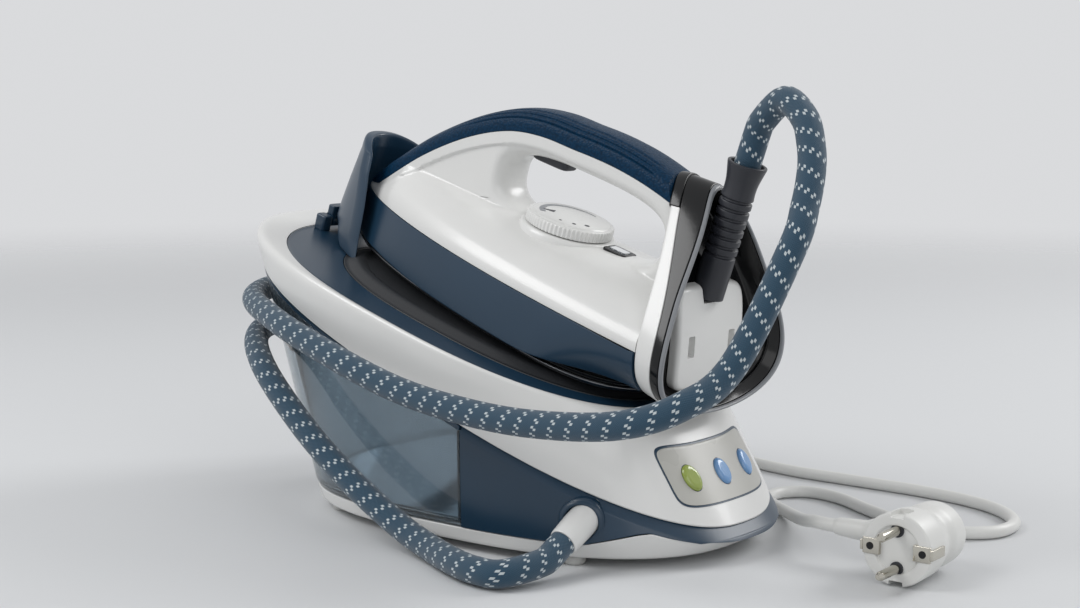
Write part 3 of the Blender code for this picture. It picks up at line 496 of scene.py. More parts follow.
def moulded(name, colour, rough, peel=2.2, depth=0.03, vary=0.06, **sockets):
    """Injection-moulded plastic: faintly clouded colour, gloss that varies a little, fine orange peel."""
    mat, tree, shader, places = blank(name, **sockets)
    place = places["Object"]
    cloud = noise(tree, place, cell=45, detail=4.0)
    dress(tree, shader, cloud, (toned(colour, 1 - vary), toned(colour)), (rough * 0.85, rough * 1.15),
          noise(tree, place, cell=peel, detail=2.0), strength=0.5, depth=depth)
    return mat


def grained(name, colour, rough, cell, depth):
    """Soft-touch rubber with a leather-like cast grain: small rounded cells with dark valleys."""
    mat, tree, shader, places = blank(name, Specular_IOR_Level=0.12)
    place = places["Object"]
    cells = add(tree, "TexVoronoi", {"Vector": place, "Scale": per_mm(cell)}).outputs["Distance"]
    # the colour tones are painted light: shade in the valleys (0.55) and a highlight on the cell tops
    # (1.15); the bump is the grain itself
    dress(tree, shader, cells, (toned(colour, 1.15), toned(colour, 0.55)), (rough * 0.8, rough * 1.2),
          cells, strength=0.8, depth=depth, invert=True)
    return mat


def brushed(name, colour, rough, along, line=0.35):
    """Metal with fine lines along one axis, drawn wider than real grinding marks so that they show."""
    mat, tree, shader, places = blank(name, Metallic=1.0)
    place = places["Object"]
    stretch = add(tree, "Mapping", {"Vector": place, "Scale": along}).outputs[0]
    lines = noise(tree, stretch, cell=line, detail=2.0)
    dress(tree, shader, lines, (toned(colour, 0.8), toned(colour)), (rough * 0.7, rough * 1.3),
          lines, strength=0.3, depth=0.02)
    return mat


def smoky(name, colour):
    """Tinted clear tank plastic: light passes, gloss outside, faint flow marks from moulding."""
    mat, tree, shader, places = blank(name, IOR=1.49, Transmission_Weight=0.92)
    place = places["Object"]
    flow = noise(tree, place, cell=30, detail=3.0)
    dress(tree, shader, flow, (toned(colour, 0.85), toned(colour)), (0.04, 0.1),
          flow, strength=0.2, depth=0.1)
    return mat


def braided(name, base, fleck, girth, spacing):
    """Woven hose cover.  UV: once round across, girths along.  Plain weave of fine threads, with pale
    zig-zag flecks set along a two-start helix whose rows are one spacing apart along the hose."""
    mat, tree, shader, places = blank(name, Roughness=0.75, Sheen_Weight=0.3)
    split = add(tree, "SeparateXYZ", {0: places["UV"]})
    turn, run = split.outputs[0], split.outputs[1]

    def maths(operation, a, b=0.0, c=0.0):
        return add(tree, "Math", {0: a, 1: b, 2: c}, operation=operation).outputs[0]

    def times(a, b):
        return maths('MULTIPLY', a, b)

    def within(value, reach):
        return maths('LESS_THAN', maths('ABSOLUTE', value), reach)

    def centred(value):
        return maths('SUBTRACT', maths('FRACT', value), 0.5)

    thread = 1.1                   # millimetres, coarser than the real yarn so that it shows
    flecks = 12                    # round the hose
    stagger, tall, wide = 0.9, 0.8, 1.25  # a fleck's zig-zag, half height and half width
    weft = maths('SINE', times(run, 2 * math.pi * girth / thread))
    warp = maths('SINE', times(turn, 2 * math.pi * round(girth / thread)))
    weave = maths('MULTIPLY_ADD', times(weft, warp), 0.5, 0.5)
    helix = maths('MULTIPLY_ADD', turn, 2.0, times(run, girth / spacing))
    row = times(centred(helix), spacing)
    cell = times(centred(times(turn, flecks)), girth / flecks)
    step = times(maths('SIGN', cell), stagger)
    mark = times(within(maths('SUBTRACT', row, step), tall), within(cell, wide))
    tones = {0: weave, 6: toned(base, 0.62), 7: toned(base, 1.15)}
    yarn = add(tree, "Mix", tones, data_type='RGBA').outputs[2]
    colour = add(tree, "Mix", {0: mark, 6: yarn, 7: toned(fleck)}, data_type='RGBA').outputs[2]
    tree.links.new(colour, shader.inputs["Base Color"])
    links = {"Strength": 0.7, "Distance": 0.3 * MM, "Height": maths('ADD', weave, mark)}
    tree.links.new(add(tree, "Bump", links).outputs[0], shader.inputs["Normal"])
    return mat


def finish(name):
    """The named finish, made once."""
    found = bpy.data.materials.get(name)
    if found:
        return found
    c = {key: tuple(getattr(colours(), key)) for key in COLOURS}
    girth, rows = math.pi * sizes().hose_diameter / MM, sizes().fleck_spacing / MM
    makers = {
        "white_moulded_abs": lambda: moulded(name, c["white"], 0.25, Coat_Weight=0.12),
        "navy_moulded_abs": lambda: moulded(name, c["navy"], 0.3, vary=0.15),
        "black_gloss_abs": lambda: moulded(name, c["black"], 0.14, vary=0.2, Specular_IOR_Level=0.35),
        "mid_grey_abs": lambda: moulded(name, c["rim"], 0.3),
        "light_grey_abs": lambda: moulded(name, c["grey"], 0.33),
        "panel_grey_film": lambda: moulded(name, c["panel"], 0.28),
        "heat_proof_nylon": lambda: moulded(name, c["rest"], 0.5, peel=1.0, depth=0.08, vary=0.2),
        "soft_touch_grip": lambda: grained(name, c["grip"], 0.42, 1.3, 0.25),
        "charcoal_rubber": lambda: moulded(name, c["rubber"], 0.42, peel=0.8, depth=0.05, vary=0.2),
        "white_pvc": lambda: moulded(name, c["cord"], 0.38, peel=1.2, depth=0.04),
        "green_button_gel": lambda: moulded(name, c["green"], 0.14, Coat_Weight=0.6),
        "blue_button_gel": lambda: moulded(name, c["blue"], 0.14, Coat_Weight=0.6),
        "smoky_clear_tank": lambda: smoky(name, c["smoke"]),
        "woven_hose_braid": lambda: braided(name, c["braid"], c["fleck"], girth, rows),
        "brushed_sole_metal": lambda: brushed(name, linear("#8E9093"), 0.3, (0.05, 1.0, 1.0)),
        "nickel_plate": lambda: brushed(name, linear("#C9C5BA"), 0.16, (1.0, 0.1, 1.0)),
        "cast_aluminium": lambda: brushed(name, linear("#A5A7A8"), 0.45, (1.0, 1.0, 1.0), line=1.5),
        "board_laminate": lambda: moulded(name, linear("#1E5A38"), 0.4, peel=3.0, depth=0.1, vary=0.5),
    }
    return makers[name]()


COLOURS = {
    "white": ("White plastic", "#DFDFDD"),
    "navy": ("Navy plastic", "#1B364B"),
    "black": ("Gloss black", "#0B0C0E"),
    "grey": ("Light grey plastic", "#BDBDBA"),
    "panel": ("Control panel", "#B5B4AE"),
    "rim": ("Heel rim", "#83868A"),
    "rest": ("Heat-proof rest", "#242629"),
    "grip": ("Soft grip", "#042E4A"),
    "rubber": ("Boot and feet", "#2A2C33"),
    "cord": ("Mains cord", "#DEDEDB"),
    "green": ("Green button", "#93A34A"),
    "blue": ("Blue buttons", "#6B98C9"),
    "smoke": ("Tank tint", "#B0BFC9"),
    "braid": ("Hose braid", "#1C435A"),
    "fleck": ("Hose flecks", "#BFC8CC"),
}


class IronColours(bpy.types.PropertyGroup):
    """Colours of the finishes."""
    __annotations__ = {
        key: FloatVectorProperty(name=label, description="Colour of: " + label.lower(), subtype='COLOR',
                                 size=3, min=0.0, max=1.0, default=linear(code))
        for key, (label, code) in COLOURS.items()}


class IronSizes(bpy.types.PropertyGroup):
    """Sizes that a user may change without leaving the packed part's shape."""
    hose_diameter: FloatProperty(
        name="Hose diameter", description="Outside of the braided hose", default=14 * MM, unit='LENGTH')
    cord_diameter: FloatProperty(
        name="Cord diameter", description="Outside of the mains cord", default=7 * MM, unit='LENGTH')
    fleck_spacing: FloatProperty(
        name="Fleck rows", description="Distance along the hose between rows of pale flecks",
        default=10.5 * MM, unit='LENGTH')
    groove_depth: FloatProperty(
        name="Grip grooves", description="Depth of the grooves along the grip",
        default=0.8 * MM, unit='LENGTH')
    knurl_count: IntProperty(name="Dial ridges", description="Ridges round the dial", default=64)
    boot_ribs: IntProperty(name="Boot ribs", description="Ribs of the hose boot", default=7)


# cords


def run_along(path):
    """Distance along a path at each of its points."""
    return np.concatenate([[0], np.cumsum(np.linalg.norm(np.diff(path, axis=0), axis=1))])


def smooth_path(points, spacing, straight_start=True, straight_end=True):
    """Catmull-Rom curve through the points, read at even distances; end pieces may stay straight."""
    p = np.array([np.asarray(q, float) for q in points])
    p = np.vstack([2 * p[0] - p[1], p, 2 * p[-1] - p[-2]])
    t = np.linspace(0, 1, 24, endpoint=False)[:, None]
    fine = []
    for a, b, c, d in zip(p[:-3], p[1:-2], p[2:-1], p[3:]):
        fine.append(0.5 * (2 * b + (c - a) * t + (2 * a - 5 * b + 4 * c - d) * t ** 2
                           + (3 * b - a - 3 * c + d) * t ** 3))
    if straight_start:
        fine[0] = fine[0][:1]
    if straight_end:
        fine[-1] = fine[-1][:1]
    fine = np.vstack(fine + [p[-2][None]])
    run = run_along(fine)
    at = np.linspace(0, run[-1], max(3, int(round(run[-1] / spacing)) + 1))
    return np.column_stack([np.interp(at, run, fine[:, k]) for k in range(3)])


def tube(path, radius, sides):
    """Circle carried along a path; each normal is the last one with its part along the path removed."""
    tangent = unit(np.gradient(path, axis=0))
    normal = np.cross(tangent[0], (0.0, 0.0, 1.0) if abs(tangent[0, 2]) < 0.9 else (1.0, 0.0, 0.0))
    normals = []
    for t in tangent:
        normal = unit(normal - t * (normal @ t))
        normals.append(normal)
    normals = np.array(normals)
    others = np.cross(tangent, normals)
    a = full_turn(sides)
    return (path[:, None] + radius * np.cos(a)[None, :, None] * normals[:, None]
            + radius * np.sin(a)[None, :, None] * others[:, None])


def metres(points):
    """Points in millimetres, moved to the part's origin, in metres."""
    return (np.asarray(points, float) - CENTRE) * MM


BOOT_START, BOOT_END = (deck(u, 0.0, w) for u, w in (BOOT_FOOT, BOOT_TOP))
BOOT_LENGTH = float(np.linalg.norm(BOOT_END - BOOT_START))
BOOT_AXIS = (BOOT_END - BOOT_START) / BOOT_LENGTH
GLAND_RUN = seam_run((GLAND_Z, 0.0), 0, GLAND_X, False)
GLAND_SPOT = GLAND_RUN[0]      # where the hose gland leaves the wall
GLAND_OUTWARD = unit(np.cross(GLAND_RUN[1] - GLAND_RUN[0], (0.0, 0.0, 1.0)))  # square to the wall there
GLAND_TIP = GLAND_SPOT + GLAND_AXIS * (GLAND_OUT + GAP)
LEAD_SPOT = seam_run((LEAD_Z, 0.0), 0, LEAD_X, False)[-1]
HOSE_START = BOOT_END + BOOT_AXIS * GAP
RELIEF_END = PLUG + np.array([-PLUG_RADIUS - GAP, RELIEF_Y, 0.0])
STRAIGHT = 14.0                # the hose leaves boot and gland straight for this far
HOSE_ROUTE = [HOSE_START - BOOT_AXIS * MOUTH_DEPTH, HOSE_START + BOOT_AXIS * STRAIGHT, *HOSE_TURNS,
              GLAND_TIP + GLAND_AXIS * STRAIGHT, GLAND_TIP]


def gland_piece():
    """Tapered sleeve where the hose enters the base, with a rounded mouth."""
    back = (abs(GLAND_SPOT[1]) - GLAND_INNER_Y) / -GLAND_AXIS[1]
    profile = [(0, GLAND_R), (back + 4, GLAND_R), (back + GLAND_OUT - 0.6, GLAND_R - 0.6),
               (back + GLAND_OUT, GLAND_R - 1.1)]
    grid = turned(GLAND_SPOT - GLAND_AXIS * back, GLAND_AXIS, profile, 64, (0, 2, 1.2, 0))
    return skin("hose_gland_skin", grid, "white_moulded_abs", "base", "hose_gland")


def make_hose():
    """Braided hose from the boot once and a half round the base to its gland."""
    gland = gland_piece()
    diameter = sizes().hose_diameter / MM
    path = smooth_path(HOSE_ROUTE, 3.0)
    sides = 40
    hose = skin("steam_hose_braid", tube(path, diameter / 2, sides), "woven_hose_braid", None,
                "steam_hose", around=np.linspace(0, 1, sides + 1),
                along=run_along(path) / (math.pi * diameter))
    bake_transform(hose)


def coil_points(floor, per_turn):
    """Spiral in on the floor, climb in the half turn where it reverses, spiral out on the second layer."""
    turn = np.arange(int(COIL_TURNS * per_turn) + 1) / per_turn
    angle = -math.pi / 2 - 2 * math.pi * turn
    middle = COIL_TURNS / 2
    radius = COIL_OUTER - COIL_PITCH * (middle - np.abs(turn - middle))
    z = floor + COIL_LAYER * smooth((turn - (middle - 0.25)) / 0.5)
    return np.column_stack([COIL_X + radius * np.cos(angle), COIL_Y + radius * np.sin(angle), z])


def cord_path(diameter):
    """Mains lead: gland, floor, coil behind the base, loose bends past the panel, plug."""
    floor = diameter / 2 + LEAD_FLOAT
    start = LEAD_SPOT + np.array([0, LEAD_GLAND_OUT + GAP, 0])
    end = RELIEF_END - np.array([RELIEF_LENGTH + GAP, 0, 0])
    lead_in, lead_out = ([(x, y, floor + rise) for x, y, rise in route] for route in (LEAD_IN, LEAD_OUT))
    coil = coil_points(floor, 72)
    first = [start, start + np.array([0, diameter, 0]), *lead_in, coil[0]]
    last = [coil[-1], *lead_out, end - np.array([diameter, 0, 0]), end]
    return np.vstack([smooth_path(first, 4.0, straight_end=False)[:-1], coil,
                      smooth_path(last, 4.0, straight_start=False)[1:]])


def plug_pieces():
    """Earthed round plug: turned body with a waist, pins in collars, earth contacts, tapered relief."""
    made = []

    def add_piece(name, grid, look, **kw):
        made.append(skin(name, grid, look, "base", **kw))
        return made[-1]

    r, back = PLUG_RADIUS, PLUG_LENGTH
    profile = [(1.4, r - 7), (0.0, r - 6.2), (0.0, r), (18.0, r - 0.4), (27.0, r - 3.4), (33.0, r - 1.8),
               (back - 2, r - 2.4), (back, r - 5)]
    grid = turned(PLUG, (0.0, 1.0, 0.0), profile, 96, (0, 0.6, 1.2, 2, 2, 2, 1.5, 0))
    body = add_piece("plug_body_skin", grid, "white_pvc", replaces="plug_body")
    px, py, pz = PLUG
    for side in (-1, 1):
        z = pz + side * (r - 1.2)
        keyway = pillow((px - 4, py - 1, z - 1.6), (px + 4, py + 12, z + 1.6), as_is, 0.4)
        carve(body, skin("keyway", keyway, None))
    for tag, side in (("low", -1), ("high", 1)):
        foot = PLUG + np.array([0, PIN_FOOT, side * PIN_SPACING / 2])
        tip = PIN_FOOT + PIN_LENGTH
        profile = [(0, PIN_RADIUS), (tip - 2.2, PIN_RADIUS), (tip, 1.2)]
        pin = turned(foot, (0, -1, 0), profile, 32, (0, 1.2, 0))
        add_piece("plug_pin_skin_" + tag, pin, "nickel_plate", replaces="plug_pin_" + tag)
        profile = [(0, PIN_RADIUS + 1), (1.0, PIN_RADIUS + 1), (1.0, PIN_RADIUS + 0.1)]
        collar = turned(foot - np.array([0, 0.2, 0]), (0, -1, 0), profile, 32)
        add_piece("plug_pin_collar_" + tag, collar, "charcoal_rubber", slot="black_rubber")
    for tag, side in (("left", -1), ("right", 1)):
        at = px + side * (r + 0.2)
        strip = pillow((at - 0.8, py - 0.6, pz - 2.6), (at + 0.8, py + 13.5, pz + 2.6), as_is, 0.4, 10)
        add_piece("earth_strip_" + tag, strip, "nickel_plate", replaces="earth_clip_" + tag)
        x = sorted((px + side * 9.0, px + side * (r - 0.4)))
        plate = pillow((x[0], py - 0.5, pz - 4), (x[1], py + 2.0, pz + 4), as_is, 0.3, 12)
        add_piece("earth_plate_" + tag, plate, "nickel_plate", slot="nickel")
        # black disc on each earth plate: painted shade for the dark inside the hole, given the black gloss
        # finish
        dot = turned((px + side * 14.0, py - 0.7, pz), (0, 1, 0), [(0, 1.9), (1, 1.9)], 32)
        add_piece("earth_hole_" + tag, dot, "black_gloss_abs", slot="black_plastic")
    profile = [(0, 4.0), (2, 4.6), (RELIEF_LENGTH - 9, 5.6), (RELIEF_LENGTH - 6, 7.2),
               (RELIEF_LENGTH + RELIEF_INTO, 7.8)]
    start = RELIEF_END - np.array([RELIEF_LENGTH, 0, 0])
    relief = turned(start, (1, 0, 0), profile, 48, (0, 0.8, 1, 1.5, 0))
    add_piece("plug_relief_skin", relief, "white_pvc", replaces="plug_relief")
    return made


def coil_tie(diameter):
    """Rubber tie round the coil's bundle: a flat strap on a rounded box section."""
    t = full_turn(72)
    half = COIL_PITCH * COIL_TURNS / 4
    deep, high = half + diameter / 2, (COIL_LAYER + diameter) / 2

    def ring(grow, side):
        r = COIL_OUTER - half + (deep + grow) * power(np.cos(t), 0.45)
        z = np.maximum(high + 0.4 + (high + grow) * power(np.sin(t), 0.45), 0.15)
        return as_is(COIL_X - r, COIL_Y + side + 0.0 * t, z)

    corners = ((TIE_IN, -TIE_HALF), (TIE_OUT, -TIE_HALF), (TIE_OUT, TIE_HALF), (TIE_IN, TIE_HALF))
    return skin("cord_tie", np.array([ring(*corner) for corner in corners]), "charcoal_rubber", "base",
                slot="black_rubber", wrap_rows=True)


def make_mains():
    """Mains lead, its gland, its tie and its plug."""
    r, tip = LEAD_GLAND_R, LEAD_GLAND_IN + LEAD_GLAND_OUT
    profile = [(0, r), (LEAD_GLAND_IN + 1.5, r), (LEAD_GLAND_IN + 6, r), (tip - 1, 4.4), (tip, 4.0)]
    gland = turned(LEAD_SPOT - np.array([0, LEAD_GLAND_IN, 0]), (0, 1, 0), profile, 40, (0, 0, 1, 1, 0))
    pieces = [skin("mains_gland_skin", gland, "light_grey_abs", "base", "mains_gland")]
    pieces += plug_pieces()
    diameter = sizes().cord_diameter / MM
    path = cord_path(diameter)
    lead = skin("mains_lead", tube(path, diameter / 2, 20), "white_pvc", "base", "mains_cord")
    pieces + [coil_tie(diameter)]


# base


def tray_rise(x):
    """The tray's edge climbs to a blunt peak below each end of the panel."""
    return np.interp(x, *TRAY_PEAK)


def lifted(rail, above):
    """A rail moved up the wall toward the one above it by the tray's rise."""
    share = tray_rise(rail[:, 0]) / (above[:, 2] - rail[:, 2])
    return rail + (above - rail) * share[:, None]


def make_tray():
    """Shallow tray on four feet."""
    high_shape = (BOTTOM[0] - 1.0, BOTTOM[1] - 7.0, BOTTOM[2])
    low_shape = (BOTTOM[0] + 2.0, BOTTOM[1] - 15.0, BOTTOM[2] - 1.0)
    low, floor, high = (TRAY_BOTTOM, 0), (TRAY_BOTTOM + WALL, 0), (TRAY_TOP, 0)
    edges = [flat_ring(high_shape, high), flat_ring(high_shape, high, WALL)]
    for edge in edges:
        edge[:, 2] += tray_rise(edge[:, 0])
    tray = soften([flat_ring(low_shape, low, 6), flat_ring(low_shape, low), *edges,
                   flat_ring(low_shape, floor, WALL)], (0, 3.0, 0.7, 0.5, 0), closed=False)
    skin("base_tray_skin", tray, "white_moulded_abs", "base", "base_tray")
    profile = [(0, FOOT_RADIUS - 1.2), (1.2, FOOT_RADIUS), (TRAY_BOTTOM - GAP, FOOT_RADIUS)]
    for tag, (x, y) in FEET.items():
        foot = turned((x, y, 0.0), (0, 0, 1), profile, 40, (0, 0.8, 0))
        skin("foot_skin_" + tag, foot, "light_grey_abs", "base", "foot_" + tag)


def make_lower():
    """Navy casing with a bevel under the white shell, bored for both glands, and the hose gland's boss."""
    low, bevel, top = (TRAY_TOP + GAP, 0.0), band_plane(5.0), band_plane(GAP / 2)
    corners = ((low, 0), (bevel, 0), (top, 1.7), (top, 3.6), (low, WALL))
    rails = [seam_run(plane, inset, SEAM_X + GAP, False) for plane, inset in corners]
    rails[0], rails[4] = lifted(rails[0], rails[1]), lifted(rails[4], rails[3])
    casing = skin("lower_casing_skin", soften(rails, (0.6, 0.8, 0.3, 0.3, 0.3)), "navy_moulded_abs",
                  "base", "lower_casing", wrap_rows=True, wrap_cols=False)
    hose_bore, lead_bore = GLAND_R + 0.5, LEAD_GLAND_R + 0.4
    near = turned(GLAND_SPOT - GLAND_AXIS * 24, GLAND_AXIS, [(0, hose_bore), (40, hose_bore)], 48)
    far = turned(LEAD_SPOT - np.array([0, 9, 0]), (0, 1, 0), [(0, lead_bore), (18, lead_bore)], 32)
    carve(casing, skin("near_bore", near, None), skin("far_bore", far, None))
    dish = [(-7.0, 8.9), (0.4, 8.9), (1.1, 9.6), (0.7, 10.8), (-0.8, 12.4), (-6.0, 13.4)]
    boss = turned(GLAND_SPOT, GLAND_OUTWARD, dish, 64, (0, 0.6, 1.0, 2.0, 2.0, 0))
    skin("gland_boss", boss, "navy_moulded_abs", "base", wrap_rows=True, slot="navy_plastic")


def make_shell():
    """White shell: wall up from the band's edge, a rolled lip of its own width all round, a thin inside."""
    band = band_plane(-GAP / 2)
    lip = wall(TURN, DECK_PLANE)
    inner = flat_ring(OPENING, DECK_PLANE)
    width = np.linalg.norm(inner - lip, axis=1, keepdims=True)
    foot = wall(TURN, band)
    down = lip + unit(foot - lip) * np.clip(0.55 * width, 2.5, 9.0)
    over = lip + unit(inner - lip) * np.clip(0.6 * width, 2.0, 11.0)
    climb = np.array([0.02, *np.linspace(0.05, 0.97, 8)])[:, None, None]
    rows = [wall(TURN, band, 0.7)[None], foot + (down - foot) * climb,
            arc(down, lip, over, np.linspace(0, 1, 9)[:, None, None]),
            np.array([flat_ring(OPENING, DECK_PLANE, 0.4) - DECK_UP * 0.5,
                      flat_ring(OPENING, deck_plane(-WALL), 0.2),
                      wall(TURN, deck_plane(-WALL), WALL), wall(TURN, band, WALL)])]
    skin("upper_shell_skin", np.concatenate(rows), "white_moulded_abs", "base", "upper_shell",
         wrap_rows=True)


def make_casing():
    """Tray, feet, navy casing with its bevel, white shell with a rolled lip."""
    make_tray()
    make_lower()
    make_shell()


def make_deck():
    """Navy rim let into the shell, dark heat-proof rest with a raised border, three pads."""
    def rings(rows):
        return [flat_ring(shape, deck_plane(rise), inset) for shape, rise, inset in rows]

    rim = rings(((OPENING, -LET_IN, GAP + 0.2), (OPENING, -0.8, GAP + 0.2), (OPENING, -1.2, 2.2),
                 (REST, -0.4, -1.6), (REST, -0.4, -GAP), (REST, -LET_IN, -GAP)))
    skin("deck_rim_skin", soften(rim, (0, 0.5, 0.8, 0.6, 0.4, 0)), "navy_moulded_abs", "base",
         "deck_rim", wrap_rows=True)
    top, floor = REST_HEIGHT, REST_HEIGHT - 1.0
    rest = rings(((REST, -LET_IN, 0), (REST, -0.2, 0), (REST, -0.2, 2.0), (REST_TOP, top, 0),
                  (REST_TOP, top, 3.0), (REST_TOP, floor, 5.0), (REST_TOP, floor, 40.0)))
    skin("deck_rest_skin", soften(rest, (0, 0.6, 1.0, 2.0, 0.8, 0.8, 0), closed=False),
         "heat_proof_nylon", "base", "deck_rest")
    for tag, (a, b) in PADS.items():
        pad = pillow((*a, floor + 0.1), (*b, SOLE_W - GAP), deck, 0.6, 8)
        skin("rest_pad_skin_" + tag, pad, "charcoal_rubber", "base", "rest_pad_" + tag)


def front_frame(angle, level):
    """Centre, across, up-slope and outward directions on the front wall."""
    step = 0.01
    spots = ((angle, level), (angle + step, level), (angle, level + step))
    p, a, b = (wall_level(np.array([theta]), height)[0] for theta, height in spots)
    across, up = unit(a - p), unit(b - p)
    return p, across, up, unit(np.cross(across, up))


def panel_plate(grow, low, high, rounding):
    """Rounded rectangle on the front wall: superellipse in angle and level, grown by millimetres.

    It runs from the inset low to the inset high, with its edge drawn in by the rounding.
    """
    t = np.linspace(0, 2 * math.pi, 4001)
    c, s = power(np.cos(t), 2 / 7), power(np.sin(t), 2 / 7)
    run = run_along(np.column_stack([c, 0.6 * s]))
    even = np.linspace(0, run[-1], 240, endpoint=False)
    c, s = np.interp(even, run, c), np.interp(even, run, s)
    mid, half = (PANEL_LOW + PANEL_HIGH) / 2, (PANEL_HIGH - PANEL_LOW) / 2
    rings = []
    flats = [(scale, high) for scale in np.linspace(1 - 0.02 * rounding, 0.03, 16)]
    for scale, inset in [(1, low), (1, high + rounding)] + flats:
        theta = (PANEL_ANGLE + grow * ANGLE_PER_MM) * scale * c
        rings.append(wall_level(theta, mid + (half + grow * LEVEL_PER_MM) * scale * s, inset))
    return np.array(rings)


def make_panel():
    """Grey panel with a dark outline and three oval buttons."""
    edge = panel_plate(grow=0.6, low=2.0, high=-0.25, rounding=0.3)
    skin("panel_outline", edge, "navy_moulded_abs", "base", slot="navy_plastic")
    plate = panel_plate(grow=-1.0, low=2.0, high=-0.55, rounding=0.3)
    fascia = skin("panel_fascia_skin", plate, "panel_grey_film", "base", "panel_fascia")
    t = full_turn(64)[:, None]
    a = np.linspace(0, math.pi / 2 - 0.05, 9)[:, None, None]
    for tag, (angle, gel) in BUTTONS.items():
        p, across, up, out = front_frame(angle, BUTTON_LEVEL)
        rim = np.cos(t) * across * BUTTON_HALF[0] + np.sin(t) * up * BUTTON_HALF[1]
        hole = np.array([p + out * h + rim * 1.05 for h in (-6.0, 6.0)])
        carve(fascia, skin("hole", hole, None))
        dome = p + out * (BUTTON_EDGE + BUTTON_DOME * np.sin(a)) + rim[None] * (0.55 + 0.45 * np.cos(a))
        grid = np.concatenate([(p - out * BUTTON_STEM + rim)[None], dome])
        skin("button_skin_" + tag, grid, gel + "_button_gel", "button_" + tag, "button_" + tag)


def make_tank():
    """Smoky clear tank with a finger slot and white lip, thin navy trim above it."""
    x = SEAM_X - GAP

    def ring(plane, inset, back=0.0):
        run = seam_run(plane, inset, x - back, True, 180)
        t = np.linspace(0, 1, 24)[1:-1, None]
        return np.vstack([run, run[-1] + (run[0] - run[-1]) * t])

    low, floor, high = (TRAY_TOP + GAP, 0.0), (TRAY_TOP + TANK_FLOOR, 0.0), band_plane(GAP + WALL)
    corners = ((low, 5.0), (low, 0), (high, 0), (high, TANK_WALL), (floor, TANK_WALL), (floor, 8))
    rows = [ring(plane, inset, inset) for plane, inset in corners]
    grid = soften(rows, (0, 4.0, 0.4, 0.4, 3.0, 0), closed=False)
    tank = skin("water_tank_skin", grid, "smoky_clear_tank", "tank", "water_tank")

    def slot(name, look, drops, insets, half, radii, **kw):
        theta = np.linspace(math.pi - half, math.pi + half, 60)
        corners = [(drops[i], insets[j]) for i, j in ((0, 0), (1, 0), (1, 1), (0, 1))]
        rails = [wall(theta, band_plane(drop), inset) for drop, inset in corners]
        return skin(name, soften(rails, radii), look, wrap_rows=True, wrap_cols=False, **kw)

    carve(tank, slot("slot_tool", None, (30.0, 22.0), (-3.0, 9.0), 0.95, (0, 0, 0, 0)))
    slot("tank_grip_skin", "white_moulded_abs", (31.5, 26.5), (-1.2, 10.0), 0.94, (1.2, 1.2, 0.6, 0.6),
         body="tank", replaces="tank_grip")
    # dark sheet behind the finger slot: painted shade for the depth of the slot, given the charcoal rubber
    # finish
    slot("slot_back", "charcoal_rubber", (31.0, 21.0), (8.0, 10.5), 0.96, (0.4, 0.4, 0.4, 0.4),
         body="tank", slot="black_rubber")
    lid = np.array([ring(band_plane(drop), 0) for drop in (WALL + 0.1, GAP)])
    skin("tank_lid_skin", lid, "navy_moulded_abs", "tank", "tank_lid")


def make_lock_arm():
    """Tilting lock: even plate under an arched top, on a knuckle between two lugs.

    Its back face is u = b(w) + c(w) s^2, s being the share across.
    """
    draw = ARM_EDGE * (1 - np.cos(np.linspace(0, math.pi / 2, 10)))
    side = np.concatenate([draw - 1, np.linspace(-0.93, 0.93, 90), 1 - draw[::-1]])[:, None]
    low = np.interp(np.abs(side), *ARM_FOOT)
    top = ARM_SHOULDER + ARM_CROWN * (1 - np.abs(side) ** 4)
    t = full_turn(160)[None, :]
    rise = (low + top) / 2 + (top - low) / 2 * power(np.sin(t), 0.16)
    half, back, wrap = (np.interp(rise, ARM_LEVELS, table) for table in (ARM_HALF, ARM_BACK, ARM_WRAP))
    past = np.clip((np.abs(side) - 1 + ARM_EDGE) / ARM_EDGE, 0, 1)
    edge = np.sqrt(np.clip(1 - past ** 2, 0.001, 1))
    u = ARM_U + back + wrap * side ** 2 + ARM_THICK / 2 * (1 + edge * power(np.cos(t), 0.4))
    navy = "navy_moulded_abs"
    skin("lock_arm_skin", deck(u, side * half, ARM_W + rise), navy, "lock_arm", "lock_arm")
    profile = [(0, KNUCKLE_RADIUS), (2 * KNUCKLE_HALF, KNUCKLE_RADIUS)]
    knuckle = turned(deck(ARM_U, -KNUCKLE_HALF, ARM_W), (0, 1, 0), profile, 40)
    skin("lock_knuckle", knuckle, navy, "lock_arm", slot="navy_plastic")
    web = pillow((ARM_U - 3.0, -KNUCKLE_HALF, ARM_W), (ARM_U + 3.0, KNUCKLE_HALF, ARM_W + 9), deck, 0.6)
    skin("lock_web", web, navy, "lock_arm", slot="navy_plastic")
    for tag, sign in (("near", -1), ("far", 1)):
        v = sorted((sign * (KNUCKLE_HALF + GAP), sign * LUG_END))
        low, high = (ARM_U - KNUCKLE_RADIUS, v[0], LUG_LOW), (ARM_U + KNUCKLE_RADIUS, v[1], LUG_HIGH)
        lug = pillow(low, high, deck, 1.2, 5)
        skin("lock_lug_skin_" + tag, lug, navy, "base", "lock_lug_" + tag)


# iron


def bell(x):
    """Fullness of the heel's bell outline at a share of its height: 95 - 110x + 40x^2."""
    return 95 - 110 * x + 40 * x * x


def heel_half(w):
    """Half width of the heel at a height: sin(a) bell(x), x = (1 - cos a)/2 being the share of height."""
    x = np.clip((w - HEEL_LOW) / (HEEL_HIGH - HEEL_LOW), 0.0, 1.0)
    return 2 * np.sqrt(x * (1 - x)) * bell(x)


def bow(f):
    """Share of the full width at a share of the way from nose to heel: (1-(1-f)^2.4)^0.65."""
    return (1 - (1 - f) ** 2.4) ** 0.65


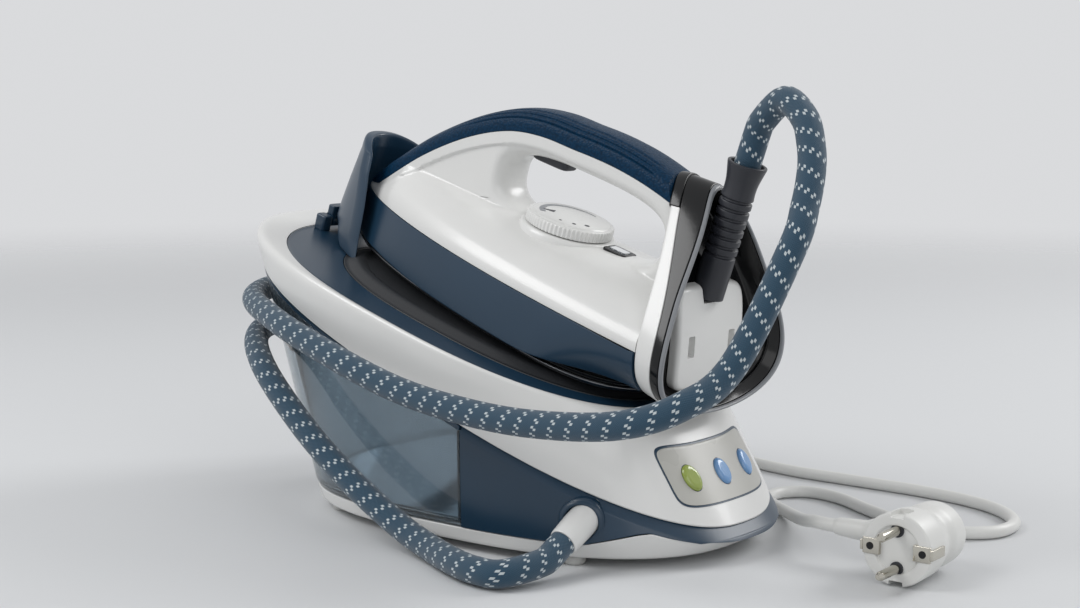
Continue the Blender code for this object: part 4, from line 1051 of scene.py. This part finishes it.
def sole_outline(half, nose, rear, w, dip=0.0, fitted=False):
    """Boat shape: half width = bow(f) (1-f^14)^0.5, f running from nose to heel.

    dip lowers the middle of the outline and lifts its heel end; a fitted one runs out to the heel's width.
    """
    f = (1 - np.cos(np.linspace(0.04, math.pi, 150))) / 2
    level = w - dip * (smooth(f / 0.45) - 2.4 * smooth((f - 0.68) / 0.3))
    v = half * bow(f)
    if fitted:
        v = v + (heel_half(level) - 1.2 - v) * smooth((f - 0.74) / 0.26)
    else:
        v = v * (1 - f ** 14) ** 0.5
    u = nose + (rear - nose) * f
    sides = ((u, u[::-1]), (v, -v[::-1]), (level, level[::-1]))
    return deck(*(np.concatenate(pair) for pair in sides))


def rear_front_u(w):
    """Front face of the white rear band: u = 108.4 - 0.01 w - 0.003 w^2."""
    return 108.4 - 0.01 * w - 0.003 * w * w


REAR_U = rear_front_u(SKIRT_HIGH) - GAP


def make_sole():
    """Soleplate with a bright edge, black insulating gap, navy skirt whose lower edge dips amidships."""
    high, top = SOLE_W + SOLE_THICK, SKIRT_LOW - GAP
    rows = ((56, -139, 97.5, SOLE_W), (58, -141, 99, SOLE_W), (60, -144, 100, high - 0.6),
            (59, -143, 99.5, high))
    plate = soften([sole_outline(*row) for row in rows], (0, 1.2, 0.4, 0), closed=False)
    skin("soleplate_skin", plate, "brushed_sole_metal", "iron", "soleplate")
    rows = ((58.5, -142, 99.5, high + GAP), (59.5, -143.5, 101, top), (50.8, -129, 88, top),
            (50.8, -129, 88, high + GAP))
    gap = soften([sole_outline(*row) for row in rows], (0.3, 0.5, 0.3, 0.3))
    skin("insulator_skin", gap, "black_gloss_abs", "iron", "insulator", wrap_rows=True)

    def ring(w, inset):
        part = (w - SKIRT_LOW) / (SKIRT_HIGH - SKIRT_LOW)
        half = SKIRT_HALF + SKIRT_FLARE * (1 - part ** 1.3) - inset
        nose = NOSE_U - SKIRT_RAKE * (1 - part) + 1.8 * inset
        rear = rear_front_u(w) - 2 * GAP - inset
        return sole_outline(half, nose, rear, w, SKIRT_SAG * (1 - part) ** 2, fitted=True)

    rows = [ring(w, 0) for w in np.linspace(SKIRT_LOW, SKIRT_HIGH, 14)]
    rows = [ring(SKIRT_LOW, 1.6), *rows, ring(SKIRT_HIGH, WALL), ring(SKIRT_LOW, WALL)]
    skirt = soften(rows, [0.3, 1.0] + [0] * 14 + [0.3])
    skin("skirt_skin", skirt, "navy_moulded_abs", "iron", "skirt", wrap_rows=True)


BODY_LOW = SKIRT_HIGH + GAP


def spine(u):
    """Height of the handle's top line: Hermite curve through the spine points."""
    x, y = np.array(SPINE_U), np.array(SPINE_W)
    slope = np.gradient(y, x)
    i = np.clip(np.searchsorted(x, u) - 1, 0, len(x) - 2)
    h = x[i + 1] - x[i]
    t = (u - x[i]) / h
    return ((1 + 2 * t) * (1 - t) ** 2 * y[i] + t * (1 - t) ** 2 * h * slope[i]
            + t * t * (3 - 2 * t) * y[i + 1] + t * t * (t - 1) * h * slope[i + 1])


def split_line(u):
    """Where the soft grip meets the white body; it runs out toward the nose."""
    return np.maximum(spine(u) - GRIP_HEIGHT * smooth((u - NOSE_U) / 30 + 0.25), BODY_LOW + 1.0)


def body_half(u):
    """Half width of the body where it sits on the skirt."""
    return (SKIRT_HALF - 1) * bow(np.clip((u - NOSE_U) / (REAR_U - NOSE_U), 0, 1))


def handle_half(u):
    """Half width of the handle, narrower toward the nose."""
    return np.minimum(HANDLE_HALF, 0.85 * body_half(u))


def lean(w):
    """How far the heel face stands off its place at the skirt's top edge."""
    return rear_front_u(w) - rear_front_u(SKIRT_HIGH)


def leaned(u, w):
    """Sections lean more and more toward the heel, so that the last one lies on the rear band."""
    return u + np.clip((u - LEAN_FROM) / (REAR_U - LEAN_FROM), 0, 1) * lean(w)


def slanted(u, v, w):
    """World point of a leaned section."""
    return deck(leaned(u, w), v, w)


def section_of(u, w):
    """Section that a leaned point belongs to: the inverse of the lean."""
    k = lean(w) / (REAR_U - LEAN_FROM)
    return np.where(u > LEAN_FROM, (u + LEAN_FROM * k) / (1 + k), u)


def hole_value(u, w):
    """Superellipse of the hand hole less 1, and the length of its slope."""
    a, b = np.abs(u - HOLE_U) / HOLE_LONG, np.abs(w - HOLE_W) / HOLE_HIGH
    f = (a ** HOLE_POWER + b ** HOLE_POWER + 1e-12) ** (1 / HOLE_POWER)
    du = (a / f) ** (HOLE_POWER - 1) / HOLE_LONG
    dw = (b / f) ** (HOLE_POWER - 1) / HOLE_HIGH
    return f - 1, np.hypot(du, dw)


def make_body():
    """White body and handle in one: half width v over the side view (u, w).

    v is the cubic norm of two parts: a dome, half an ellipse high over the skirt, and the handle, of even
    width but rounded off toward the hand hole by (1-(1-d/r)^p)^(1/p), d being the distance to the hole.
    A shallow flat is taken off beside the handle's frame.  Rows run from the hole to the side outline,
    columns round it; both sides meet along the hole.
    """
    nose = NOSE_U + 1.2
    low_u = nose + (REAR_U - nose) * np.linspace(0, 1, 150)
    rear_w = np.linspace(BODY_LOW, float(split_line(REAR_U)), 60)[1:]
    top_u = np.linspace(REAR_U, nose, 220)[1:]
    top_w = split_line(top_u)
    edge_u = np.concatenate([low_u, REAR_U + lean(rear_w), leaned(top_u, top_w)])
    edge_w = np.concatenate([np.full(150, BODY_LOW), rear_w, top_w])
    ray_u, ray_w = edge_u - HOLE_U, edge_w - HOLE_W
    reach = np.hypot(ray_u, ray_w)
    ray_u, ray_w = ray_u / reach, ray_w / reach
    near = 1 / (hole_value(HOLE_U + ray_u, HOLE_W + ray_w)[0] + 1)
    slope = hole_value(HOLE_U + ray_u * near, HOLE_W + ray_w * near)[1]
    round_rows = HOLE_ROUND * (1 - np.cos(np.linspace(0, math.pi / 2, 13)))
    inner = near + np.minimum(round_rows[:, None] * slope * near, 0.6 * (reach - near))
    outer = inner[-1] + (reach - inner[-1]) * np.linspace(0, 1, 34)[1:, None]
    away = np.concatenate([inner, outer])
    u, w = HOLE_U + ray_u * away, HOLE_W + ray_w * away
    f, slope = hole_value(u, w)
    distance = np.clip(f / slope / HOLE_ROUND, 0, 1)
    part = section_of(u, w)
    edge_round = (1 - (1 - distance) ** HOLE_ROUND_POWER) ** (1 / HOLE_ROUND_POWER)
    half, handle = body_half(part), handle_half(part)
    split = split_line(part)
    crown = np.minimum(HOLE_W - HOLE_HIGH, split)
    rise = np.clip((w - BODY_LOW) / np.maximum(crown - BODY_LOW, 0.5), 0, 1)
    dome = np.cbrt(np.maximum(half ** 3 - handle ** 3, 0)) * np.sqrt(1 - rise ** 2)
    v = np.cbrt(dome ** 3 + (handle * edge_round) ** 3)
    recess = smooth((split - w - 7.0) / 1.2) * smooth((part + 116) / 3.0) * smooth((w - 46.0) / 9.0)
    recess = SIDE_RECESS * recess * smooth((60 - part) / 60)
    v = np.maximum(v - recess * edge_round, 0.02 * edge_round)
    v[0] = 0.0
    flat = np.zeros(len(edge_u))
    sides = [deck(edge_u, flat, edge_w)[None], deck(u, -v, w)[::-1], deck(u, v, w)[1:]]
    body = skin("body_shell_skin", np.concatenate(sides), "white_moulded_abs", "iron", "body_shell",
                wrap_rows=True, crease=BODY_CREASE)
    low, high = np.array(TRIGGER)
    pocket = pillow(low - (1, 1, 4), high + (1, 1, 4.5), deck, 0.4, 8)
    carve(body, skin("pocket", pocket, None), crease=BODY_CREASE)


def make_grip():
    """Soft insert along the top of the handle: superelliptic arch with grooves along both flanks."""
    u = np.concatenate([np.linspace(NOSE_U + 2.0, -100, 40), np.linspace(-98.5, REAR_U, 130)])[:, None]
    t = np.linspace(0, math.pi, 91)[None, :]
    middle = smooth((u + 90) / 40) * smooth((98 - u) / 14)
    flank = np.minimum(t, math.pi - t)
    groove = sum(np.exp(-((flank - math.radians(at)) / 0.045) ** 2) for at in (30, 47, 64))
    depth = sizes().groove_depth / MM * groove * middle
    half = handle_half(u) - depth
    low = split_line(u) + GAP
    high = np.maximum(spine(u), low + 0.6) - depth
    grid = slanted(u, half * power(np.cos(t), 0.7), low + (high - low) * np.abs(np.sin(t)) ** 0.7)
    skin("grip_skin", grid, "soft_touch_grip", "iron", "grip", crease=BODY_CREASE)


def dial_point(radius, angle, rise):
    """Point over the dial's top, by radius and angle round its axis."""
    return deck(DIAL_U + radius * np.cos(angle), radius * np.sin(angle), DIAL_HIGH + rise)


def make_dial():
    """Dial with ridges round its edge, its tapering mark, arrow and dots, and its seat on the body."""
    height = DIAL_HIGH - DIAL_LOW
    count = sizes().knurl_count
    t = full_turn(count * 8)
    ridge = 0.25 + 0.25 * power(np.sin(count * t), 0.5)
    profile = np.array([
        (-height, 1.5, 0), (0.3 - height, 0.6, 1), (-1.9, 0.6, 1), (-1.3, 0.8, 0.5), (-0.9, 1.4, 0),
        (-0.9, 2.4, 0), (-0.3, 3.0, 0), (0.0, 4.0, 0), (0.0, 17.0, 0), (0.0, 24.0, 0)])
    rise, back, knurl = (column[:, None] for column in profile.T)
    grid = dial_point(DIAL_RADIUS - back + ridge * knurl, t, rise)
    skin("dial_skin", grid, "white_moulded_abs", "dial", "dial")
    sweep = np.linspace(math.radians(75), math.radians(235), 60)[None, :]
    radius = MARK_RADIUS + np.linspace(-1, 1, 5)[:, None] * np.linspace(0.3, 1.7, 60)[None, :]
    low, high = (dial_point(radius, sweep, rise) for rise in (MARK_LOW, MARK_HIGH))
    sheet = np.concatenate([high, low[::-1]])
    skin("dial_mark", sheet, "mid_grey_abs", "dial", slot="light_grey", wrap_rows=True, wrap_cols=False)
    corner, reach = np.radians([205.0, 228.0, 217.0]), np.array([9.5, 10.5, 17.5])
    pointer = np.array([dial_point(reach, corner, rise) for rise in (MARK_LOW, MARK_HIGH + 0.04)])
    skin("dial_pointer", pointer, "charcoal_rubber", "dial", slot="black_rubber")
    for k, size in enumerate(DOT_SIZES):
        foot = dial_point(DOT_RADIUS, math.radians(285 + 28 * k), MARK_LOW)
        dot = turned(foot, DECK_UP, [(0, size), (MARK_HIGH - MARK_LOW, size)], 24)
        skin(f"dial_dot_{k}", dot, "charcoal_rubber", "dial", slot="black_rubber")
    profile = [(0, 29), (6.3, 27.5), (7.6, 26.4), (7.6, 20), (0, 20)]
    seat = turned(deck(DIAL_U, 0.0, DIAL_LOW - 8.0), DECK_UP, profile, 120, (0, 2.0, 0.5, 0, 0))
    skin("dial_seat", seat, "white_moulded_abs", "iron", slot="white_plastic")


def make_controls():
    """Dial with ridges, arrow and dots; its seat; trigger; indicator lens."""
    make_dial()
    skin("trigger_skin", pillow(*TRIGGER, deck, 1.6, 5), "charcoal_rubber", "trigger", "trigger")
    low, high = np.array(LENS)
    border = pillow(low - (2.2, 2.4, 1.0), high + (2.2, 2.4, 0.1), deck, 0.5, 8)
    skin("lens_frame", border, "black_gloss_abs", "iron", slot="black_plastic")
    lens = pillow(low, high + (0, 0, 0.5), deck, 0.5, 8)
    skin("indicator_lens_skin", lens, "smoky_clear_tank", "iron", "indicator_lens")


PHI = full_turn(240)


def heel_rear_u(w):
    """Rear edge of the heel, further back toward its top."""
    return rear_front_u(w) + HEEL_DEPTH + HEEL_SWEEP * smooth((w - 62) / 50)


def heel_mid_u(w):
    """Where the white rear band meets the black cover."""
    return rear_front_u(w) + HEEL_BAND - BAND_SWEEP * smooth((w - 50) / 50)


def heel_ring(place, shift, inset, a=PHI):
    """Bell outline laid on the curved heel: v = sin(a) bell(x), x = (1 - cos a)/2, shrunk by an inset."""
    v = np.sin(a) * bell((1 - np.cos(a)) / 2) * (1 - inset / HEEL_SHRINK[0])
    w = (HEEL_LOW + HEEL_HIGH) / 2 - (HEEL_HIGH - HEEL_LOW) / 2 * np.cos(a)
    w = HEEL_EYE + (w - HEEL_EYE) * (1 - inset / HEEL_SHRINK[1])
    return deck(place(w) + shift, v, w)


def make_heel_shells():
    """White rear band and its front plate, black cap, dished black cover, grey rim."""
    front, mid, rear = rear_front_u, heel_mid_u, heel_rear_u
    white, black = "white_moulded_abs", "black_gloss_abs"

    def rings(rows, *angles):
        return [heel_ring(*row, *angles) for row in rows]

    band = rings(((front, 0, 1.5), (mid, 0, 0.5), (mid, 0, BAND_WALL), (front, 0, BAND_WALL)))
    band = soften(band, (1.6, 0.5, 0.4, 0.4))
    skin("rear_band_skin", band, white, "iron", "rear_band", wrap_rows=True)
    crown = np.linspace(math.pi - 0.72, math.pi + 0.72, 90)
    cap = rings(((front, -0.6, 0.9), (mid, 0.2, -0.2), (mid, 0.2, 3.5), (front, -0.6, 3.5)), crown)
    cap = soften(cap, (1.6, 0.4, 0.3, 0.3))
    skin("heel_cap", cap, black, "iron", slot="black_plastic", wrap_rows=True, wrap_cols=False)
    insets = (*HEEL_INSETS, BAND_WALL)
    plate = rings([(front, -0.5, k) for k in insets] + [(front, 0.15, k) for k in insets[::-1]])
    skin("heel_front", np.array(plate), white, "iron", slot="white_plastic")
    inner = BAND_WALL + 0.5
    face = [(front, GAP, k) for k in (*HEEL_INSETS, inner)]
    walls = [(mid, GAP, inner), (mid, GAP, 0.5), (rear, -1.6, 0), (rear, -1.6, 3)]
    floor = [(front, COVER_FLOOR, k) for k in (8, 12, 17, 22, 28, 35, 43)]
    cover = soften(rings(face + walls + floor), [0] * 5 + [0.4, 0.5, 0.4, 0.4, 5.0] + [0] * 6, closed=False)
    skin("heel_cover_skin", cover, black, "iron", "heel_cover")
    rim = rings(((rear, -1.3, 0.3), (rear, 0.5, 0.7), (rear, 0.5, 2.2), (rear, -1.3, 2.6)))
    rim = soften(rim, (0.4, 0.6, 0.6, 0.4))
    skin("heel_rim_skin", rim, "mid_grey_abs", "iron", "heel_rim", wrap_rows=True)


def make_housing():
    """Hose housing on the heel cover, with a notch for the boot and a vent slot on each side."""
    t = np.linspace(-math.pi / 2, 1.5 * math.pi, 160, endpoint=False)
    c, s = power(np.cos(t), 0.27), power(np.sin(t), 0.27)

    def ring(shift, scale):
        w = HOUSING_W + HOUSING_HALF[1] * scale * s
        return deck(rear_front_u(w) + shift, HOUSING_HALF[0] * scale * c, w)

    rows = [ring(COVER_FLOOR + GAP, 1.0), ring(HOUSING_RISE - 1.5, 1.0)]
    rows += [ring(HOUSING_RISE, scale) for scale in (0.95, 0.86, 0.7, 0.5, 0.25, 0.05)]
    grid = soften(rows, (0, 1.5, 1.5, 0, 0, 0, 0, 0), closed=False)
    housing = skin("hose_housing_skin", grid, "white_moulded_abs", "iron", "hose_housing")
    bore = BOOT_RADIUS + 1.1
    notch = turned(BOOT_START - BOOT_AXIS * 9.0, BOOT_AXIS, [(0, bore), (40, bore)], 48)
    tools = [skin("notch", notch, None)]
    for v in (-VENT_V, VENT_V):
        low, high = zip(VENT_U, (v - VENT_HALF, v + VENT_HALF), VENT_W)
        tools.append(skin("vent", pillow(low, high, deck, 0.8), None))
    carve(housing, *tools)


def make_boot():
    """Ribbed rubber boot: turned profile with grooves between ribs and a flared mouth for the hose."""
    r, tip, mouth = BOOT_RADIUS, BOOT_LENGTH, MOUTH_RADIUS
    profile = [(-7.0, r + 0.1), (10, r + 0.1), (15, r)]
    ribs = sizes().boot_ribs
    for k in range(ribs):
        at = RIB_FROM + RIB_PITCH * k
        profile += [(at, r), (at + 0.5, r - RIB_DEPTH), (at + 1.5, r - RIB_DEPTH), (at + 2.0, r)]
    profile += [(52, r - 0.4), (57, r - 0.1), (tip - 1.0, mouth), (tip, mouth), (tip, mouth - 1.6),
                (tip - 8.5, 7.3), (tip - 8.5, 1.0)]
    radii = [0, 0, 0.5] + [0.4, 0.3, 0.3, 0.4] * ribs + [3, 4, 0.4, 0.4, 0.4, 0.3, 0]
    boot = turned(BOOT_START, BOOT_AXIS, profile, 72, radii)
    skin("hose_boot_skin", boot, "charcoal_rubber", "iron", "hose_boot")


def make_heel():
    """Rear band, heel cover and rim, hose housing with a notch and slots, ribbed boot."""
    make_heel_shells()
    make_housing()
    make_boot()


def finish_inside():
    """Hidden pieces keep their solids and get their real finishes."""
    kept = {
        "cast_aluminium": ("heater_casting", "boiler", "thermostat", "steam_valve"),
        "nickel_plate": ("lock_pin", "dial_shaft"),
        "heat_proof_nylon": ("boiler_cradle", "water_pump", "tank_valve", "boiler_heater"),
        "light_grey_abs": ("bulkhead", "tank_socket", "board_post_near", "board_post_far"),
        "board_laminate": ("control_board",),
    }
    for name, nodes in kept.items():
        for node in nodes:
            mesh = frame["nodes"][node].data
            mesh.materials.clear()
            mesh.materials.append(finish(name))


# stage


def aim(obj, direction):
    """Turns a camera or lamp to look along a direction and puts it in the scene."""
    obj.rotation_mode = 'QUATERNION'
    obj.rotation_quaternion = Vector(direction).to_track_quat('-Z', 'Y')
    bpy.context.scene.collection.objects.link(obj)


def make_camera():
    """Camera fitted to the photograph: it looks back along its azimuth and height at the target."""
    camera = bpy.data.objects.new("camera", bpy.data.cameras.new("camera"))
    camera.data.lens, camera.data.sensor_width = LENS_MM, SENSOR_MM
    camera.data.clip_start, camera.data.clip_end = 0.01, 50
    flat = math.cos(CAMERA_HEIGHT)
    away = np.array([math.sin(CAMERA_AZIMUTH) * flat, -math.cos(CAMERA_AZIMUTH) * flat,
                     math.sin(CAMERA_HEIGHT)])
    camera.location = metres(CAMERA_TARGET + away * CAMERA_DISTANCE)
    aim(camera, -away)
    bpy.context.scene.camera = camera


def make_floor():
    """Pale round floor that turns clear toward its edge."""
    rows, cols = 24, 96
    r = np.linspace(0.05, FLOOR_RADIUS, rows)[:, None]
    a = full_turn(cols)[None, :]
    disc = as_is(r * np.cos(a), r * np.sin(a), 0.0 * r * a)
    faces = grid_faces(rows, cols, False, True).tolist() + [list(range(cols))]
    mesh = bpy.data.meshes.new("floor")
    mesh.from_pydata(disc.reshape(-1, 3).tolist(), [], faces)
    floor = bpy.data.objects.new("floor", mesh)
    bpy.context.scene.collection.objects.link(floor)
    mat, tree, shader, places = blank("floor_paper", Roughness=0.6, Base_Color=(0.66, 0.67, 0.68, 1.0))
    place = places["Object"]
    far = add(tree, "VectorMath", {0: place}, operation='LENGTH').outputs["Value"]
    links = {0: far, 1: FLOOR_CLEAR[0], 2: FLOOR_CLEAR[1]}
    fade = add(tree, "MapRange", links, interpolation_type='SMOOTHSTEP').outputs[0]
    clear = add(tree, "BsdfTransparent").outputs[0]
    blend = add(tree, "MixShader", {0: fade, 1: shader.outputs[0], 2: clear})
    tree.links.new(blend.outputs[0], tree.nodes["Material Output"].inputs["Surface"])
    mesh.materials.append(mat)


def make_lamps():
    """Three soft lamps that look at the part's middle."""
    for name, (watts, size, at) in LAMPS.items():
        lamp = bpy.data.objects.new(name, bpy.data.lights.new(name, 'AREA'))
        lamp.data.energy, lamp.data.size = watts, size
        lamp.location = at
        aim(lamp, Vector((0, 0, 0.1)) - Vector(at))


def make_world():
    """Pale surroundings, brighter where they are seen or mirrored than in the light they give."""
    world = bpy.data.worlds.new("studio")
    world.use_nodes = True
    tree = world.node_tree
    rays = add(tree, "LightPath").outputs
    seen = rays["Is Camera Ray"]
    for kind in ("Is Transmission Ray", "Is Glossy Ray"):
        seen = add(tree, "Math", {0: seen, 1: rays[kind]}, operation='MAXIMUM').outputs[0]
    strength = add(tree, "MapRange", {0: seen, 3: WORLD_LIGHT, 4: WORLD_SEEN})
    back = tree.nodes["Background"]
    back.inputs["Color"].default_value = (0.97, 0.98, 1.0, 1.0)
    tree.links.new(strength.outputs[0], back.inputs["Strength"])
    bpy.context.scene.world = world


def make_stage():
    """Camera fitted to the photograph, pale floor that fades out, three soft lamps, pale world."""
    bpy.context.scene.view_settings.view_transform = 'Standard'
    make_camera()
    make_floor()
    make_lamps()
    make_world()


STEPS = (
    ("stage", "Stage and camera", make_stage),
    ("hose", "Steam hose", make_hose),
    ("mains", "Mains lead and plug", make_mains),
    ("casing", "Base casing", make_casing),
    ("deck", "Deck and rest", make_deck),
    ("panel", "Control panel", make_panel),
    ("tank", "Water tank", make_tank),
    ("lock", "Lock arm", make_lock_arm),
    ("sole", "Sole and skirt", make_sole),
    ("body", "Iron body", make_body),
    ("grip", "Soft grip", make_grip),
    ("controls", "Dial, trigger and lens", make_controls),
    ("heel", "Heel and hose boot", make_heel),
    ("inside", "Inner pieces", finish_inside),
)


def operator(key, label, build):
    """Operator class that builds one group of pieces."""
    def execute(self, context):
        build()
        return {'FINISHED'}
    return type("IRON_OT_" + key, (bpy.types.Operator,), {
        "__doc__": build.__doc__, "bl_idname": "iron." + key, "bl_label": label, "execute": execute})


OPERATORS = [operator(*step) for step in STEPS]


class IRON_PT_pieces(bpy.types.Panel):
    """Lists the groups of pieces and the values that can be changed."""
    bl_label = "Steam generator iron"
    bl_space_type = 'VIEW_3D'
    bl_region_type = 'UI'
    bl_category = "Iron"

    def draw(self, context):
        for made in OPERATORS:
            self.layout.operator(made.bl_idname)
        for group in (context.scene.iron_sizes, context.scene.iron_colours):
            for key in group.bl_rna.properties.keys()[2:]:
                self.layout.prop(group, key)


CLASSES = [IronSizes, IronColours, *OPERATORS, IRON_PT_pieces]


def register():
    """Adds the classes and hangs the two groups of values on the scene."""
    for made in CLASSES:
        bpy.utils.register_class(made)
    bpy.types.Scene.iron_sizes = PointerProperty(type=IronSizes)
    bpy.types.Scene.iron_colours = PointerProperty(type=IronColours)


def unregister():
    """Takes away what register added."""
    del bpy.types.Scene.iron_colours
    del bpy.types.Scene.iron_sizes
    for made in reversed(CLASSES):
        bpy.utils.unregister_class(made)


def main():
    """Registers the add-on, builds every group and writes both sizes."""
    register()
    for key, _, _ in STEPS:
        getattr(bpy.ops.iron, key)()


if __name__ == "__main__":
    main()
